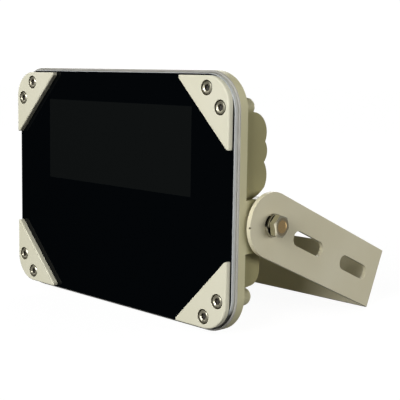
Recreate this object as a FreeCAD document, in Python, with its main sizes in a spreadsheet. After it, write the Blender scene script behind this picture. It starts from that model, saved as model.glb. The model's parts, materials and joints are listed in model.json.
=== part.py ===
"""Infrared illuminator: a flat die-cast head with a black glass front, on a folded U bracket.

The head's own frame has its origin at the centre of the glass's front face: X to the right,
Y towards the rear, Z up. The finished part stands on z = 0, on the bracket's lower rear edge,
and its origin is the centre of that base. All lengths are in millimetres.
"""
import FreeCAD, Part
import math
import os
import Sketcher

V = FreeCAD.Vector

# Driving dimensions: name, value, what it is
SIZES = [
    ("glass_wide", 225.0, "front glass, width"),
    ("glass_tall", 161.0, "front glass, height"),
    ("glass_corner", 23.4, "front glass, corner radius"),
    ("glass_thick", 4.0, "front glass, thickness"),
    ("glass_edge", 0.5, "front glass, ground chamfer"),
    ("glass_proud", 2.8, "how far the glass stands out of the flange"),
    ("glass_gap", 0.3, "gap round the glass's edge"),
    ("rim_thick", 1.3, "flange rim outside the glass gap"),
    ("flange_deep", 7.0, "flange, front to back"),
    ("flange_round", 1.1, "rounding of the flange's front edge"),
    ("gasket_thick", 1.5, "glass gasket, pressed"),
    ("gasket_wide", 14.0, "glass gasket, width of the ring"),
    ("filter_gap", 0.5, "gap between filter and gasket"),
    ("seat_wide", 19.0, "gasket seat, from the glass's edge to the cavity"),
    ("cavity_corner", 6.0, "cavity, corner radius"),
    ("tub_wall", 5.0, "side walls of the tub"),
    ("tub_floor", 5.0, "back wall of the tub"),
    ("tub_back_y", 24.0, "back face of the tub, from the glass's front"),
    ("tub_round", 2.5, "rounding of the tub's back edge"),
    ("plate_leg", 44.8, "corner plate, length of each leg"),
    ("plate_inset", 1.5, "corner plate, inset from the glass's edge"),
    ("plate_thick", 4.0, "corner plate, thickness"),
    ("plate_corner", 18.5, "corner plate, outer corner radius"),
    ("plate_tip", 2.0, "corner plate, flat at each tip"),
    ("plate_edge", 0.6, "corner plate, chamfer of the front edges"),
    ("screw_edge", 7.5, "corner screw, from the plate's near edge"),
    ("screw_along", 19.2, "corner screw, from the plate's other edge"),
    ("screw_size", 5.0, "corner screw, thread diameter"),
    ("screw_long", 20.0, "corner screw, length under the head"),
    ("screw_head", 8.2, "corner screw, head diameter"),
    ("screw_head_high", 2.8, "corner screw, head height"),
    ("screw_head_edge", 0.5, "corner screw, chamfer of the head"),
    ("screw_socket", 4.0, "corner screw, hexagon socket across flats"),
    ("screw_socket_deep", 1.8, "corner screw, depth of the socket"),
    ("recess_wide", 9.4, "round recess in the plate for the head"),
    ("screw_clear", 0.5, "clearance hole over a screw, on the diameter"),
    ("glass_clear", 1.5, "hole in glass and gasket over the screw"),
    ("thread_gap", 0.1, "tapped bore over its screw, on the diameter"),
    ("tip_gap", 1.0, "tapped bore past its screw's tip"),
    ("boss_wide", 12.0, "screw boss, diameter"),
    ("boss_back_y", 23.8, "screw boss, end of its dome"),
    ("boss_flat", 0.8, "screw boss, radius of the flat on its dome"),
    ("fin_thick", 3.0, "cooling fin, thickness"),
    ("fin_pitch", 12.0, "cooling fin, pitch"),
    ("fin_side_in", 4.5, "outer fins, at least this far inside the flange's side"),
    ("fin_top_y", 20.6, "upper fins, depth of the top corner"),
    ("fin_top_in", 25.3, "upper fins, top corner below the flange's top"),
    ("fin_top_slope", 3.5, "upper fins, rise of the top edge to the flange"),
    ("cusp_a_y", 31.2, "upper fins, depth of the first notch"),
    ("cusp_a_up", 35.3, "upper fins, first notch above the lug"),
    ("cusp_b_y", 30.4, "upper fins, depth of the second notch"),
    ("cusp_b_up", 22.4, "upper fins, second notch above the lug"),
    ("cusp_c_y", 31.2, "upper fins, depth where the last lobe starts"),
    ("cusp_c_up", 6.6, "upper fins, start of the last lobe above the lug"),
    ("lobe_a_rise", 5.6, "upper fins, bow of the top lobe"),
    ("lobe_b_rise", 2.4, "upper fins, bow of the second lobe"),
    ("lobe_c_rise", 2.3, "upper fins, bow of the third lobe"),
    ("lobe_d_rise", 1.4, "upper fins, bow of the last lobe"),
    ("fin_foot_y", 15.8, "upper fins, depth of the foot"),
    ("fin_foot_in", 1.0, "fins, how far they run into the lug's height"),
    ("low_fin_y", 28.0, "lower fins, depth"),
    ("low_fin_in", 28.3, "lower fins, bottom above the flange's lower edge"),
    ("low_fin_round", 9.0, "lower fins, radius of the rear corner"),
    ("low_fin_slope", 1.5, "lower fins, drop of the bottom edge to the flange"),
    ("lug_radius", 16.7, "pivot lug, half its height"),
    ("lug_thick", 17.0, "pivot lug, from the flange's side inwards"),
    ("pivot_deep", 30.2, "tilt pivot, behind the glass's front"),
    ("pivot_drop", 13.7, "tilt pivot, below the head's centre"),
    ("pivot_size", 8.0, "tilt bolt, thread diameter"),
    ("pivot_long", 20.0, "tilt bolt, length under the head"),
    ("bolt_flats", 13.0, "tilt bolt, across flats"),
    ("bolt_head_high", 4.8, "tilt bolt, head height"),
    ("bolt_face_in", 0.8, "tilt bolt, chamfer circle inside the flats"),
    ("washer_wide", 15.0, "flat and spring washers, diameter"),
    ("washer_bore", 8.4, "washers, bore"),
    ("washer_thick", 1.2, "flat washer, thickness"),
    ("spring_wide", 13.5, "spring washer, diameter"),
    ("spring_thick", 1.9, "spring washer, thickness"),
    ("spring_slit", 1.2, "spring washer, width of its cut"),
    ("friction_wide", 22.0, "friction washer, diameter"),
    ("friction_thick", 1.1, "friction washer, thickness"),
    ("strip_wide", 42.0, "bracket strip, width"),
    ("strip_thick", 3.0, "bracket strip, thickness"),
    ("strip_bend", 1.0, "bracket strip, inside bend radius"),
    ("arm_reach", 125.5, "bracket, from the pivot to its back face"),
    ("arm_slope", 24.0, "bracket, slope down to the rear, degrees"),
    ("arm_bore", 9.0, "bracket, pivot hole"),
    ("slot_wide", 10.0, "arm slot, width"),
    ("slot_long", 33.0, "arm slot, end to end"),
    ("slot_start", 23.1, "arm slot, from the pivot to the first one"),
    ("slot_space", 21.5, "arm slots, strip left between them"),
    ("wall_bore", 10.5, "bracket back, middle hole"),
    ("wall_side_bore", 9.0, "bracket back, side holes"),
    ("wall_side_out", 60.0, "bracket back, side holes from the middle"),
    ("cut_past", 1.0, "how far a cutting profile runs past the solid"),
    ("board_side", 18.5, "LED board, from the cavity's sides"),
    ("board_edge", 2.0, "boards, from the cavity's top and bottom"),
    ("board_corner", 2.0, "boards, corner radius"),
    ("board_thick", 1.6, "circuit boards, thickness"),
    ("nut_gap", 3.0, "boards, from the gland's locknut"),
    ("thermal_thick", 0.5, "thermal pad, thickness"),
    ("led_size", 3.5, "LED package, side"),
    ("led_high", 2.2, "LED package, height"),
    ("led_corner", 0.4, "LED package, corner radius"),
    ("led_columns", 8.0, "LEDs across"),
    ("led_rows", 4.0, "rows of LEDs"),
    ("led_side_in", 17.25, "outer LEDs, from the board's side"),
    ("led_top_in", 8.0, "outer LEDs, from the board's top and bottom"),
    ("lens_gap", 0.4, "gap between LED and lens"),
    ("lens_back", 3.4, "lens, radius at the LED"),
    ("lens_front", 6.2, "lens, radius at its front"),
    ("lens_deep", 5.4, "lens, depth behind its plate"),
    ("lens_plate_thick", 2.0, "lens plate, thickness"),
    ("leg_wide", 4.0, "lens plate, diameter of its legs"),
    ("leg_out", 12.0, "lens plate, legs from the board's middle line"),
    ("small_screw", 3.0, "board screw, thread diameter"),
    ("small_screw_long", 5.0, "board screw, length under the head"),
    ("small_head", 5.5, "board screw, head diameter"),
    ("small_head_high", 1.8, "board screw, head height"),
    ("small_head_edge", 0.4, "board screw, chamfer of the head"),
    ("small_socket", 2.0, "board screw, hexagon socket across flats"),
    ("small_socket_deep", 1.1, "board screw, depth of the socket"),
    ("small_edge", 4.0, "board screw, from the board's edges"),
    ("small_tip_gap", 0.5, "board screw's bore past its tip"),
    ("driver_wide", 110.0, "driver board, width"),
    ("post_high", 3.0, "posts under the driver board"),
    ("post_wide", 7.0, "posts under the driver board, diameter"),
    ("choke_wide", 14.0, "inductor, diameter of its flanges"),
    ("choke_waist", 11.0, "inductor, diameter of its winding"),
    ("choke_flange", 1.4, "inductor, thickness of each flange"),
    ("choke_high", 7.0, "inductor, height"),
    ("choke_out", 26.0, "inductor, left of the board's middle"),
    ("can_wide", 8.0, "capacitor, diameter"),
    ("can_high", 7.5, "capacitor, height"),
    ("can_round", 0.6, "capacitor, rounding of its top"),
    ("can_first", 2.0, "first capacitor, left of the board's middle"),
    ("can_pitch", 11.0, "capacitors, pitch"),
    ("block_wide", 15.0, "terminal block, width"),
    ("block_tall", 9.0, "terminal block, height along the board"),
    ("block_high", 7.5, "terminal block, how far it stands out"),
    ("block_corner", 0.5, "terminal block, corner radius"),
    ("block_in", 21.0, "terminal block, from the board's right end"),
    ("block_pitch", 6.5, "terminal block, pitch of its screws"),
    ("block_hole", 3.6, "terminal block, screw holes"),
    ("block_hole_deep", 4.0, "terminal block, depth of the holes"),
    ("gland_thread", 16.0, "cable gland, thread diameter"),
    ("gland_flats", 22.0, "cable gland, across flats"),
    ("gland_hex_thick", 5.0, "cable gland, body hexagon"),
    ("gland_neck", 9.0, "cable gland, clamping neck behind the hexagon"),
    ("gland_bore", 10.0, "cable gland, bore of the body"),
    ("gland_end", 1.0, "cable gland, thread past its locknut"),
    ("gland_boss_wide", 27.0, "boss under the gland, diameter"),
    ("gland_boss_high", 2.0, "boss under the gland, height"),
    ("ring_wide", 21.0, "gland sealing ring, diameter"),
    ("ring_thick", 1.5, "gland sealing ring, pressed"),
    ("locknut_thick", 3.5, "gland locknut, thickness"),
    ("seal_wide", 12.4, "gland seal, diameter"),
    ("seal_long", 8.0, "gland seal, length"),
    ("seal_out", 1.5, "gland seal, how far it stands out of the neck"),
    ("cable_bore", 8.0, "gland seal, bore for the cable"),
    ("dome_flats", 20.0, "gland dome nut, across flats"),
    ("dome_hex_long", 8.0, "gland dome nut, its hexagon"),
    ("dome_gap", 0.8, "gap between the two hexagons"),
    ("dome_wall", 1.6, "gland dome nut, wall of the dome"),
    ("dome_mouth", 9.4, "gland dome nut, opening"),
    ("dome_long", 7.0, "gland dome nut, its dome"),
    ("lead_size", 1.8, "lead between the boards, diameter"),
    ("lead_pitch", 4.0, "leads, pitch"),
    ("lead_lift", 4.0, "leads, how far they stand off the driver board"),
    ("lead_bend", 3.0, "leads, bend radius"),
    ("lead_in", 3.0, "leads, from each board's near edge"),
]


def bow_radius(rise, start_y, start_z, end_y, end_z):
    """The expression for an arc's radius from its rise over the chord between two places."""
    chord = "((%s - %s)^2 + (%s - %s)^2)" % (start_y, end_y, start_z, end_z)
    return "%s / (8 * %s) + %s / 2" % (chord, rise, rise)


# Places and sizes that follow from the driving dimensions: name, expression
PLACES = [
    ("seat_y", "Sizes.glass_thick + Sizes.gasket_thick"),
    ("flange_back_y", "Sizes.glass_proud + Sizes.flange_deep"),
    ("flange_wide", "Sizes.glass_wide + 2 * (Sizes.glass_gap + Sizes.rim_thick)"),
    ("flange_tall", "Sizes.glass_tall + 2 * (Sizes.glass_gap + Sizes.rim_thick)"),
    ("flange_corner", "Sizes.glass_corner + Sizes.glass_gap + Sizes.rim_thick"),
    ("flange_side", "Layout.flange_wide / 2"),
    ("socket_wide", "Sizes.glass_wide + 2 * Sizes.glass_gap"),
    ("socket_tall", "Sizes.glass_tall + 2 * Sizes.glass_gap"),
    ("socket_corner", "Sizes.glass_corner + Sizes.glass_gap"),
    ("socket_deep", "Layout.seat_y - Sizes.glass_proud"),
    ("gasket_inner_wide", "Sizes.glass_wide - 2 * Sizes.gasket_wide"),
    ("gasket_inner_tall", "Sizes.glass_tall - 2 * Sizes.gasket_wide"),
    ("gasket_inner_corner", "Sizes.glass_corner - Sizes.gasket_wide"),
    ("filter_wide", "Layout.gasket_inner_wide - 2 * Sizes.filter_gap"),
    ("filter_tall", "Layout.gasket_inner_tall - 2 * Sizes.filter_gap"),
    ("filter_corner", "Layout.gasket_inner_corner - Sizes.filter_gap"),
    ("cavity_wide", "Sizes.glass_wide - 2 * Sizes.seat_wide"),
    ("cavity_tall", "Sizes.glass_tall - 2 * Sizes.seat_wide"),
    ("tub_wide", "Layout.cavity_wide + 2 * Sizes.tub_wall"),
    ("tub_tall", "Layout.cavity_tall + 2 * Sizes.tub_wall"),
    ("tub_corner", "Sizes.cavity_corner + Sizes.tub_wall"),
    ("tub_deep", "Sizes.tub_back_y - Layout.flange_back_y"),
    ("floor_y", "Sizes.tub_back_y - Sizes.tub_floor"),
    ("cavity_deep", "Layout.floor_y - Layout.seat_y"),
    ("plate_x", "Sizes.glass_wide / 2 - Sizes.plate_inset"),
    ("plate_z", "Sizes.glass_tall / 2 - Sizes.plate_inset"),
    ("screw_far_x", "Layout.plate_x - Sizes.screw_edge"),
    ("screw_near_x", "Layout.plate_x - Sizes.screw_along"),
    ("screw_far_z", "Layout.plate_z - Sizes.screw_edge"),
    ("screw_near_z", "Layout.plate_z - Sizes.screw_along"),
    ("screw_seat_y", "Sizes.screw_head_high - Sizes.plate_thick"),
    ("screw_hole_deep", "Layout.screw_seat_y + Sizes.screw_long + Sizes.tip_gap - Layout.seat_y"),
    ("screw_radius", "Sizes.screw_size / 2"),
    ("screw_head_radius", "Sizes.screw_head / 2"),
    ("screw_socket_reach", "Sizes.screw_socket / (2 * cos(30))"),
    ("recess_radius", "Sizes.recess_wide / 2"),
    ("plate_hole_radius", "(Sizes.screw_size + Sizes.screw_clear) / 2"),
    ("glass_hole_radius", "(Sizes.screw_size + Sizes.glass_clear) / 2"),
    ("tapped_radius", "(Sizes.screw_size + Sizes.thread_gap) / 2"),
    ("boss_long", "Sizes.boss_back_y - Layout.flange_back_y"),
    ("boss_radius", "Sizes.boss_wide / 2"),
    ("boss_dome", "Layout.boss_radius - Sizes.boss_flat"),
    ("fin_steps", "floor((Layout.flange_wide - 2 * Sizes.fin_side_in - Sizes.fin_thick) / Sizes.fin_pitch)"),
    ("fin_count", "Layout.fin_steps + 1"),
    ("fin_span", "Layout.fin_steps * Sizes.fin_pitch"),
    ("fin_first_x", "-(Layout.fin_span + Sizes.fin_thick) / 2"),
    ("lug_inner_x", "Layout.flange_side - Sizes.lug_thick"),
    ("pivot_z", "-Sizes.pivot_drop"),
    ("lug_top_z", "Layout.pivot_z + Sizes.lug_radius"),
    ("lug_bottom_z", "Layout.pivot_z - Sizes.lug_radius"),
    ("lug_back_y", "Sizes.pivot_deep + Sizes.lug_radius"),
    ("fin_top_z", "Layout.flange_tall / 2 - Sizes.fin_top_in"),
    ("fin_root_z", "Layout.fin_top_z + Sizes.fin_top_slope"),
    ("fin_foot_z", "Layout.lug_top_z - Sizes.fin_foot_in"),
    ("cusp_a_z", "Layout.lug_top_z + Sizes.cusp_a_up"),
    ("cusp_b_z", "Layout.lug_top_z + Sizes.cusp_b_up"),
    ("cusp_c_z", "Layout.lug_top_z + Sizes.cusp_c_up"),
    ("lobe_a_radius", bow_radius("Sizes.lobe_a_rise", "Sizes.fin_top_y", "Layout.fin_top_z",
                                 "Sizes.cusp_a_y", "Layout.cusp_a_z")),
    ("lobe_b_radius", bow_radius("Sizes.lobe_b_rise", "Sizes.cusp_a_y", "Layout.cusp_a_z",
                                 "Sizes.cusp_b_y", "Layout.cusp_b_z")),
    ("lobe_c_radius", bow_radius("Sizes.lobe_c_rise", "Sizes.cusp_b_y", "Layout.cusp_b_z",
                                 "Sizes.cusp_c_y", "Layout.cusp_c_z")),
    ("lobe_d_radius", bow_radius("Sizes.lobe_d_rise", "Sizes.cusp_c_y", "Layout.cusp_c_z",
                                 "Sizes.fin_foot_y", "Layout.fin_foot_z")),
    ("low_fin_top_z", "Layout.lug_bottom_z + Sizes.fin_foot_in"),
    ("low_fin_root_z", "Sizes.low_fin_in - Layout.flange_tall / 2"),
    ("low_fin_bottom_z", "Layout.low_fin_root_z + Sizes.low_fin_slope"),
    ("low_fin_bend_z", "Layout.low_fin_bottom_z + Sizes.low_fin_round"),
    ("low_fin_bend_y", "Sizes.low_fin_y - Sizes.low_fin_round"),
    ("pivot_radius", "Sizes.pivot_size / 2"),
    ("pivot_bore_radius", "(Sizes.pivot_size + Sizes.thread_gap) / 2"),
    ("arm_inner_x", "Layout.flange_side + Sizes.friction_thick"),
    ("arm_outer_x", "Layout.arm_inner_x + Sizes.strip_thick"),
    ("spring_seat_x", "Layout.arm_outer_x + Sizes.washer_thick"),
    ("bolt_seat_x", "Layout.spring_seat_x + Sizes.spring_thick"),
    ("pivot_bore_deep", "Sizes.pivot_long + Sizes.tip_gap + Layout.flange_side - Layout.bolt_seat_x"),
    ("bolt_reach", "Sizes.bolt_flats / (2 * cos(30))"),
    ("bolt_face_radius", "Sizes.bolt_flats / 2 - Sizes.bolt_face_in"),
    ("bolt_cut_radius", "Layout.bolt_reach + Sizes.cut_past"),
    ("bolt_cut_drop", "(Layout.bolt_cut_radius - Layout.bolt_face_radius) * tan(30)"),
    ("bolt_cut_y", "Layout.bolt_cut_drop - Sizes.bolt_head_high"),
    ("washer_radius", "Sizes.washer_wide / 2"),
    ("washer_bore_radius", "Sizes.washer_bore / 2"),
    ("spring_radius", "Sizes.spring_wide / 2"),
    ("spring_slit_half", "Sizes.spring_slit / 2"),
    ("spring_past", "Layout.spring_radius + Sizes.cut_past"),
    ("friction_radius", "Sizes.friction_wide / 2"),
    ("strip_radius", "Sizes.strip_wide / 2"),
    ("strip_past", "Layout.strip_radius + Sizes.cut_past"),
    ("bend_outer", "Sizes.strip_bend + Sizes.strip_thick"),
    ("bend_start_y", "Sizes.arm_reach - Layout.bend_outer"),
    ("back_inner_y", "Sizes.arm_reach - Sizes.strip_thick"),
    ("back_outer_x", "Layout.arm_outer_x - Layout.bend_outer"),
    ("arm_bore_radius", "Sizes.arm_bore / 2"),
    ("slot_radius", "Sizes.slot_wide / 2"),
    ("slot_a_start", "Sizes.slot_start + Layout.slot_radius"),
    ("slot_a_end", "Sizes.slot_start + Sizes.slot_long - Layout.slot_radius"),
    ("slot_b_start", "Layout.slot_a_start + Sizes.slot_long + Sizes.slot_space"),
    ("slot_b_end", "Layout.slot_a_end + Sizes.slot_long + Sizes.slot_space"),
    ("wall_bore_radius", "Sizes.wall_bore / 2"),
    ("wall_side_radius", "Sizes.wall_side_bore / 2"),
    ("arm_back_y", "Sizes.arm_reach * cos(Sizes.arm_slope) + Layout.strip_radius * sin(Sizes.arm_slope)"),
    ("pivot_row_z", "Sizes.arm_reach * sin(Sizes.arm_slope) + Layout.strip_radius * cos(Sizes.arm_slope)"),
    ("head_z", "Sizes.pivot_drop + Layout.pivot_row_z"),
    ("head_y", "(Sizes.plate_thick - Sizes.pivot_deep - Layout.arm_back_y) / 2"),
    ("pivot_row_y", "Layout.head_y + Sizes.pivot_deep"),
    ("gland_row_z", "Layout.head_z + Layout.pivot_z"),
    ("gland_reach", "Sizes.gland_flats / (2 * cos(30))"),
    ("dome_reach", "Sizes.dome_flats / (2 * cos(30))"),
    ("gland_radius", "Sizes.gland_thread / 2"),
    ("gland_hole_radius", "(Sizes.gland_thread + Sizes.screw_clear) / 2"),
    ("gland_bore_radius", "Sizes.gland_bore / 2"),
    ("gland_nut_radius", "(Sizes.gland_thread + Sizes.thread_gap) / 2"),
    ("gland_boss_radius", "Sizes.gland_boss_wide / 2"),
    ("gland_seat_y", "Sizes.tub_back_y + Sizes.gland_boss_high"),
    ("gland_body_y", "Layout.gland_seat_y + Sizes.ring_thick"),
    ("gland_neck_y", "Layout.gland_body_y + Sizes.gland_hex_thick"),
    ("gland_neck_end_y", "Layout.gland_neck_y + Sizes.gland_neck"),
    ("gland_inner_y", "Layout.floor_y - Sizes.locknut_thick - Sizes.gland_end"),
    ("ring_radius", "Sizes.ring_wide / 2"),
    ("seal_radius", "Sizes.seal_wide / 2"),
    ("seal_end_y", "Layout.gland_neck_end_y + Sizes.seal_out"),
    ("seal_start_y", "Layout.seal_end_y - Sizes.seal_long"),
    ("cable_radius", "Sizes.cable_bore / 2"),
    ("dome_start_y", "Layout.gland_neck_y + Sizes.dome_gap"),
    ("dome_shoulder_y", "Layout.dome_start_y + Sizes.dome_hex_long"),
    ("dome_end_y", "Layout.dome_shoulder_y + Sizes.dome_long"),
    ("dome_radius", "Layout.gland_nut_radius + Sizes.dome_wall"),
    ("dome_mouth_radius", "Sizes.dome_mouth / 2"),
    ("dome_lip_radius", "Layout.dome_mouth_radius + Sizes.dome_wall"),
    ("dome_bore_deep", "Layout.seal_end_y - Layout.dome_start_y"),
    ("board_wide", "Layout.cavity_wide - 2 * Sizes.board_side"),
    ("board_high_z", "Layout.cavity_tall / 2 - Sizes.board_edge"),
    ("board_low_z", "Layout.pivot_z + Layout.gland_reach + Sizes.nut_gap"),
    ("board_tall", "Layout.board_high_z - Layout.board_low_z"),
    ("board_z", "(Layout.board_high_z + Layout.board_low_z) / 2"),
    ("board_back_y", "Layout.floor_y - Sizes.thermal_thick"),
    ("board_front_y", "Layout.board_back_y - Sizes.board_thick"),
    ("board_screw_x", "Layout.board_wide / 2 - Sizes.small_edge"),
    ("board_screw_z", "Layout.board_tall / 2 - Sizes.small_edge"),
    ("led_pitch", "(Layout.board_wide - 2 * Sizes.led_side_in) / (Sizes.led_columns - 1)"),
    ("led_span", "Layout.board_wide - 2 * Sizes.led_side_in"),
    ("led_row_span", "Layout.board_tall - 2 * Sizes.led_top_in"),
    ("led_first_x", "Sizes.led_side_in - Layout.board_wide / 2"),
    ("led_first_z", "Layout.board_low_z + Sizes.led_top_in"),
    ("lens_back_y", "Layout.board_front_y - Sizes.led_high - Sizes.lens_gap"),
    ("lens_plate_back_y", "Layout.lens_back_y - Sizes.lens_deep"),
    ("leg_long", "Layout.board_front_y - Layout.lens_plate_back_y"),
    ("leg_radius", "Sizes.leg_wide / 2"),
    ("small_radius", "Sizes.small_screw / 2"),
    ("small_head_radius", "Sizes.small_head / 2"),
    ("small_socket_reach", "Sizes.small_socket / (2 * cos(30))"),
    ("small_clear_radius", "(Sizes.small_screw + Sizes.screw_clear) / 2"),
    ("small_bore_radius", "(Sizes.small_screw + Sizes.thread_gap) / 2"),
    ("small_bore_long", "Sizes.small_screw_long + Sizes.small_tip_gap"),
    ("board_bore_deep", "Layout.small_bore_long + Layout.board_front_y - Layout.floor_y"),
    ("driver_high_z", "Layout.pivot_z - Layout.gland_reach - Sizes.nut_gap"),
    ("driver_low_z", "Sizes.board_edge - Layout.cavity_tall / 2"),
    ("driver_tall", "Layout.driver_high_z - Layout.driver_low_z"),
    ("driver_z", "(Layout.driver_high_z + Layout.driver_low_z) / 2"),
    ("driver_back_y", "Layout.floor_y - Sizes.post_high"),
    ("driver_front_y", "Layout.driver_back_y - Sizes.board_thick"),
    ("driver_screw_x", "Sizes.driver_wide / 2 - Sizes.small_edge"),
    ("driver_screw_z", "Layout.driver_tall / 2 - Sizes.small_edge"),
    ("driver_bore_deep", "Layout.small_bore_long - Sizes.board_thick"),
    ("post_radius", "Sizes.post_wide / 2"),
    ("choke_radius", "Sizes.choke_wide / 2"),
    ("choke_waist_radius", "Sizes.choke_waist / 2"),
    ("choke_waist_y", "Layout.driver_front_y - Sizes.choke_flange"),
    ("choke_top_y", "Layout.driver_front_y - Sizes.choke_high"),
    ("choke_neck_y", "Layout.choke_top_y + Sizes.choke_flange"),
    ("choke_waist_long", "Layout.choke_waist_y - Layout.choke_neck_y"),
    ("can_radius", "Sizes.can_wide / 2"),
    ("can_second", "Sizes.can_first - Sizes.can_pitch"),
    ("can_top_y", "Layout.driver_front_y - Sizes.can_high"),
    ("block_top_y", "Layout.driver_front_y - Sizes.block_high"),
    ("block_x", "Sizes.driver_wide / 2 - Sizes.block_in"),
    ("block_screw_x", "Sizes.block_pitch / 2"),
    ("block_hole_radius", "Sizes.block_hole / 2"),
    ("lead_radius", "Sizes.lead_size / 2"),
    ("lead_x", "Layout.led_pitch - Sizes.lead_pitch / 2"),
    ("lead_low_z", "Layout.driver_high_z - Sizes.lead_in"),
    ("lead_high_z", "Layout.board_low_z + Sizes.lead_in"),
    ("lead_y", "Layout.driver_front_y - Sizes.lead_lift"),
    ("lead_turn_y", "Layout.lead_y + Sizes.lead_bend"),
    ("lead_low_turn_z", "Layout.lead_low_z + Sizes.lead_bend"),
    ("lead_high_turn_z", "Layout.lead_high_z - Sizes.lead_bend"),
]


def make_sheet(doc):
    """The spreadsheet of driving dimensions, and the places that follow from them."""
    sheet = doc.addObject("Spreadsheet::Sheet", "Sizes")
    for row, (name, value, note) in enumerate(SIZES, start=1):
        sheet.set("A%d" % row, name)
        sheet.set("B%d" % row, str(value))
        sheet.set("C%d" % row, note)
        sheet.setAlias("B%d" % row, name)
    doc.recompute()
    layout = doc.addObject("App::VarSet", "Layout")
    for name, expression in PLACES:
        layout.addProperty("App::PropertyFloat", name, "Layout", name.replace("_", " "))
        layout.setExpression(name, expression)
    doc.recompute()
    return sheet, layout


DOC = FreeCAD.newDocument("InfraredIlluminator")
SHEET, LAYOUT = make_sheet(DOC)
SHEET_NAMES = [name for name, value, note in SIZES]
NODES = []


def number(name):
    """The value of a named size or place; a leading minus turns its sign."""
    if name == "0":
        return 0.0
    if name.startswith("-"):
        return -number(name[1:])
    if name in SHEET_NAMES:
        return float(SHEET.get(name))
    return float(getattr(LAYOUT, name))


def term(name):
    """The expression that points at a named size or place."""
    if name == "0":
        return "0"
    if name.startswith("-"):
        return "-(%s)" % term(name[1:])
    owner = "Sizes" if name in SHEET_NAMES else "Layout"
    return "%s.%s" % (owner, name)


def bind(thing, **names):
    """Bind properties of an object to named sizes."""
    for prop, name in names.items():
        thing.setExpression(prop, term(name))


def put_at(thing, across, deep, up):
    """Bind the place of a piece's own frame to named places."""
    for axis, name in zip("xyz", (across, deep, up)):
        thing.setExpression("Placement.Base." + axis, term(name))


def new_body(name, across="0", deep="head_y", up="head_z"):
    """An empty body named for its piece, by default in the head's frame."""
    body = DOC.addObject("PartDesign::Body", name)
    body.Label = name
    put_at(body, across, deep, up)
    NODES.append(body)
    return body


def sketch_on(body, name, role, offset="0", across="0", up="0"):
    """A sketch on one of the body's own origin planes, moved off the plane by a named offset
    and within it to a named place."""
    sketch = body.newObject("Sketcher::SketchObject", name)
    plane = [item for item in body.Origin.OriginFeatures if item.Role == role][0]
    sketch.AttachmentSupport = [(plane, "")]
    sketch.MapMode = "FlatFace"
    for axis, place in zip("xyz", (across, up, offset)):
        if place != "0":
            sketch.setExpression("AttachmentOffset.Base." + axis, term(place))
    return sketch


def front_sketch(body, name, depth="0", across="0", up="0"):
    """A sketch that faces the front, at a named depth behind the glass's front."""
    offset = "0" if depth == "0" else "-" + depth
    if offset.startswith("--"):
        offset = offset[2:]
    return sketch_on(body, name, "XZ_Plane", offset, across, up)


def dimension(sketch, name, *parts):
    """A driving dimension of a sketch, bound to a named size."""
    index = sketch.addConstraint(Sketcher.Constraint(*parts, number(name)))
    label = "size_%d" % index
    sketch.renameConstraint(index, label)
    sketch.setExpression("Constraints." + label, term(name))


def pin_point(sketch, index, end, across, up):
    """Fix one point of a sketch's geometry from the sketch's origin."""
    for kind, name in (("DistanceX", across), ("DistanceY", up)):
        if name == "0":
            axis = -2 if kind == "DistanceX" else -1
            sketch.addConstraint(Sketcher.Constraint("PointOnObject", index, end, axis))
        else:
            dimension(sketch, name, kind, index, end)


def circle(sketch, across, up, radius):
    """A circle with a bound centre and radius."""
    centre = V(number(across), number(up), 0)
    index = sketch.addGeometry(Part.Circle(centre, V(0, 0, 1), number(radius)), False)
    dimension(sketch, radius, "Radius", index)
    if across == "0" and up == "0":
        sketch.addConstraint(Sketcher.Constraint("Coincident", index, 3, -1, 1))
    else:
        pin_point(sketch, index, 3, across, up)


CORNER_SIGNS = [("", ""), ("-", ""), ("-", "-"), ("", "-")]


def four_circles(sketch, across, up, radius):
    """Four circles, one in each quarter of the sketch."""
    for sign_x, sign_z in CORNER_SIGNS:
        circle(sketch, sign_x + across, sign_z + up, radius)


def corner_screw_circles(sketch, radius):
    """One circle for each of the eight corner screws."""
    four_circles(sketch, "screw_far_x", "screw_near_z", radius)
    four_circles(sketch, "screw_near_x", "screw_far_z", radius)


def rounded_rectangle(sketch, wide, tall, corner):
    """A centred rectangle with round corners: four lines, and four arcs that meet them."""
    half_w, half_t, r = number(wide) / 2, number(tall) / 2, number(corner)
    sides = [
        (V(-half_w + r, -half_t, 0), V(half_w - r, -half_t, 0)),
        (V(half_w, -half_t + r, 0), V(half_w, half_t - r, 0)),
        (V(half_w - r, half_t, 0), V(-half_w + r, half_t, 0)),
        (V(-half_w, half_t - r, 0), V(-half_w, -half_t + r, 0)),
    ]
    centres = [(half_w - r, -half_t + r, -90), (half_w - r, half_t - r, 0),
               (-half_w + r, half_t - r, 90), (-half_w + r, -half_t + r, 180)]
    lines = [sketch.addGeometry(Part.LineSegment(a, b), False) for a, b in sides]
    arcs = []
    for x, y, start in centres:
        full = Part.Circle(V(x, y, 0), V(0, 0, 1), r)
        arc = Part.ArcOfCircle(full, math.radians(start), math.radians(start + 90))
        arcs.append(sketch.addGeometry(arc, False))
    for i in range(4):
        sketch.addConstraint(Sketcher.Constraint("Tangent", lines[i], 2, arcs[i], 1))
        sketch.addConstraint(Sketcher.Constraint("Tangent", arcs[i], 2, lines[(i + 1) % 4], 1))
        way = "Horizontal" if i % 2 == 0 else "Vertical"
        sketch.addConstraint(Sketcher.Constraint(way, lines[i]))
    for i in range(3):
        sketch.addConstraint(Sketcher.Constraint("Equal", arcs[i], arcs[i + 1]))
    sketch.addConstraint(Sketcher.Constraint("Symmetric", arcs[0], 3, arcs[2], 3, -1, 1))
    dimension(sketch, corner, "Radius", arcs[0])
    dimension(sketch, wide, "DistanceX", lines[3], 1, lines[1], 1)
    dimension(sketch, tall, "DistanceY", lines[0], 1, lines[2], 2)


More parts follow.
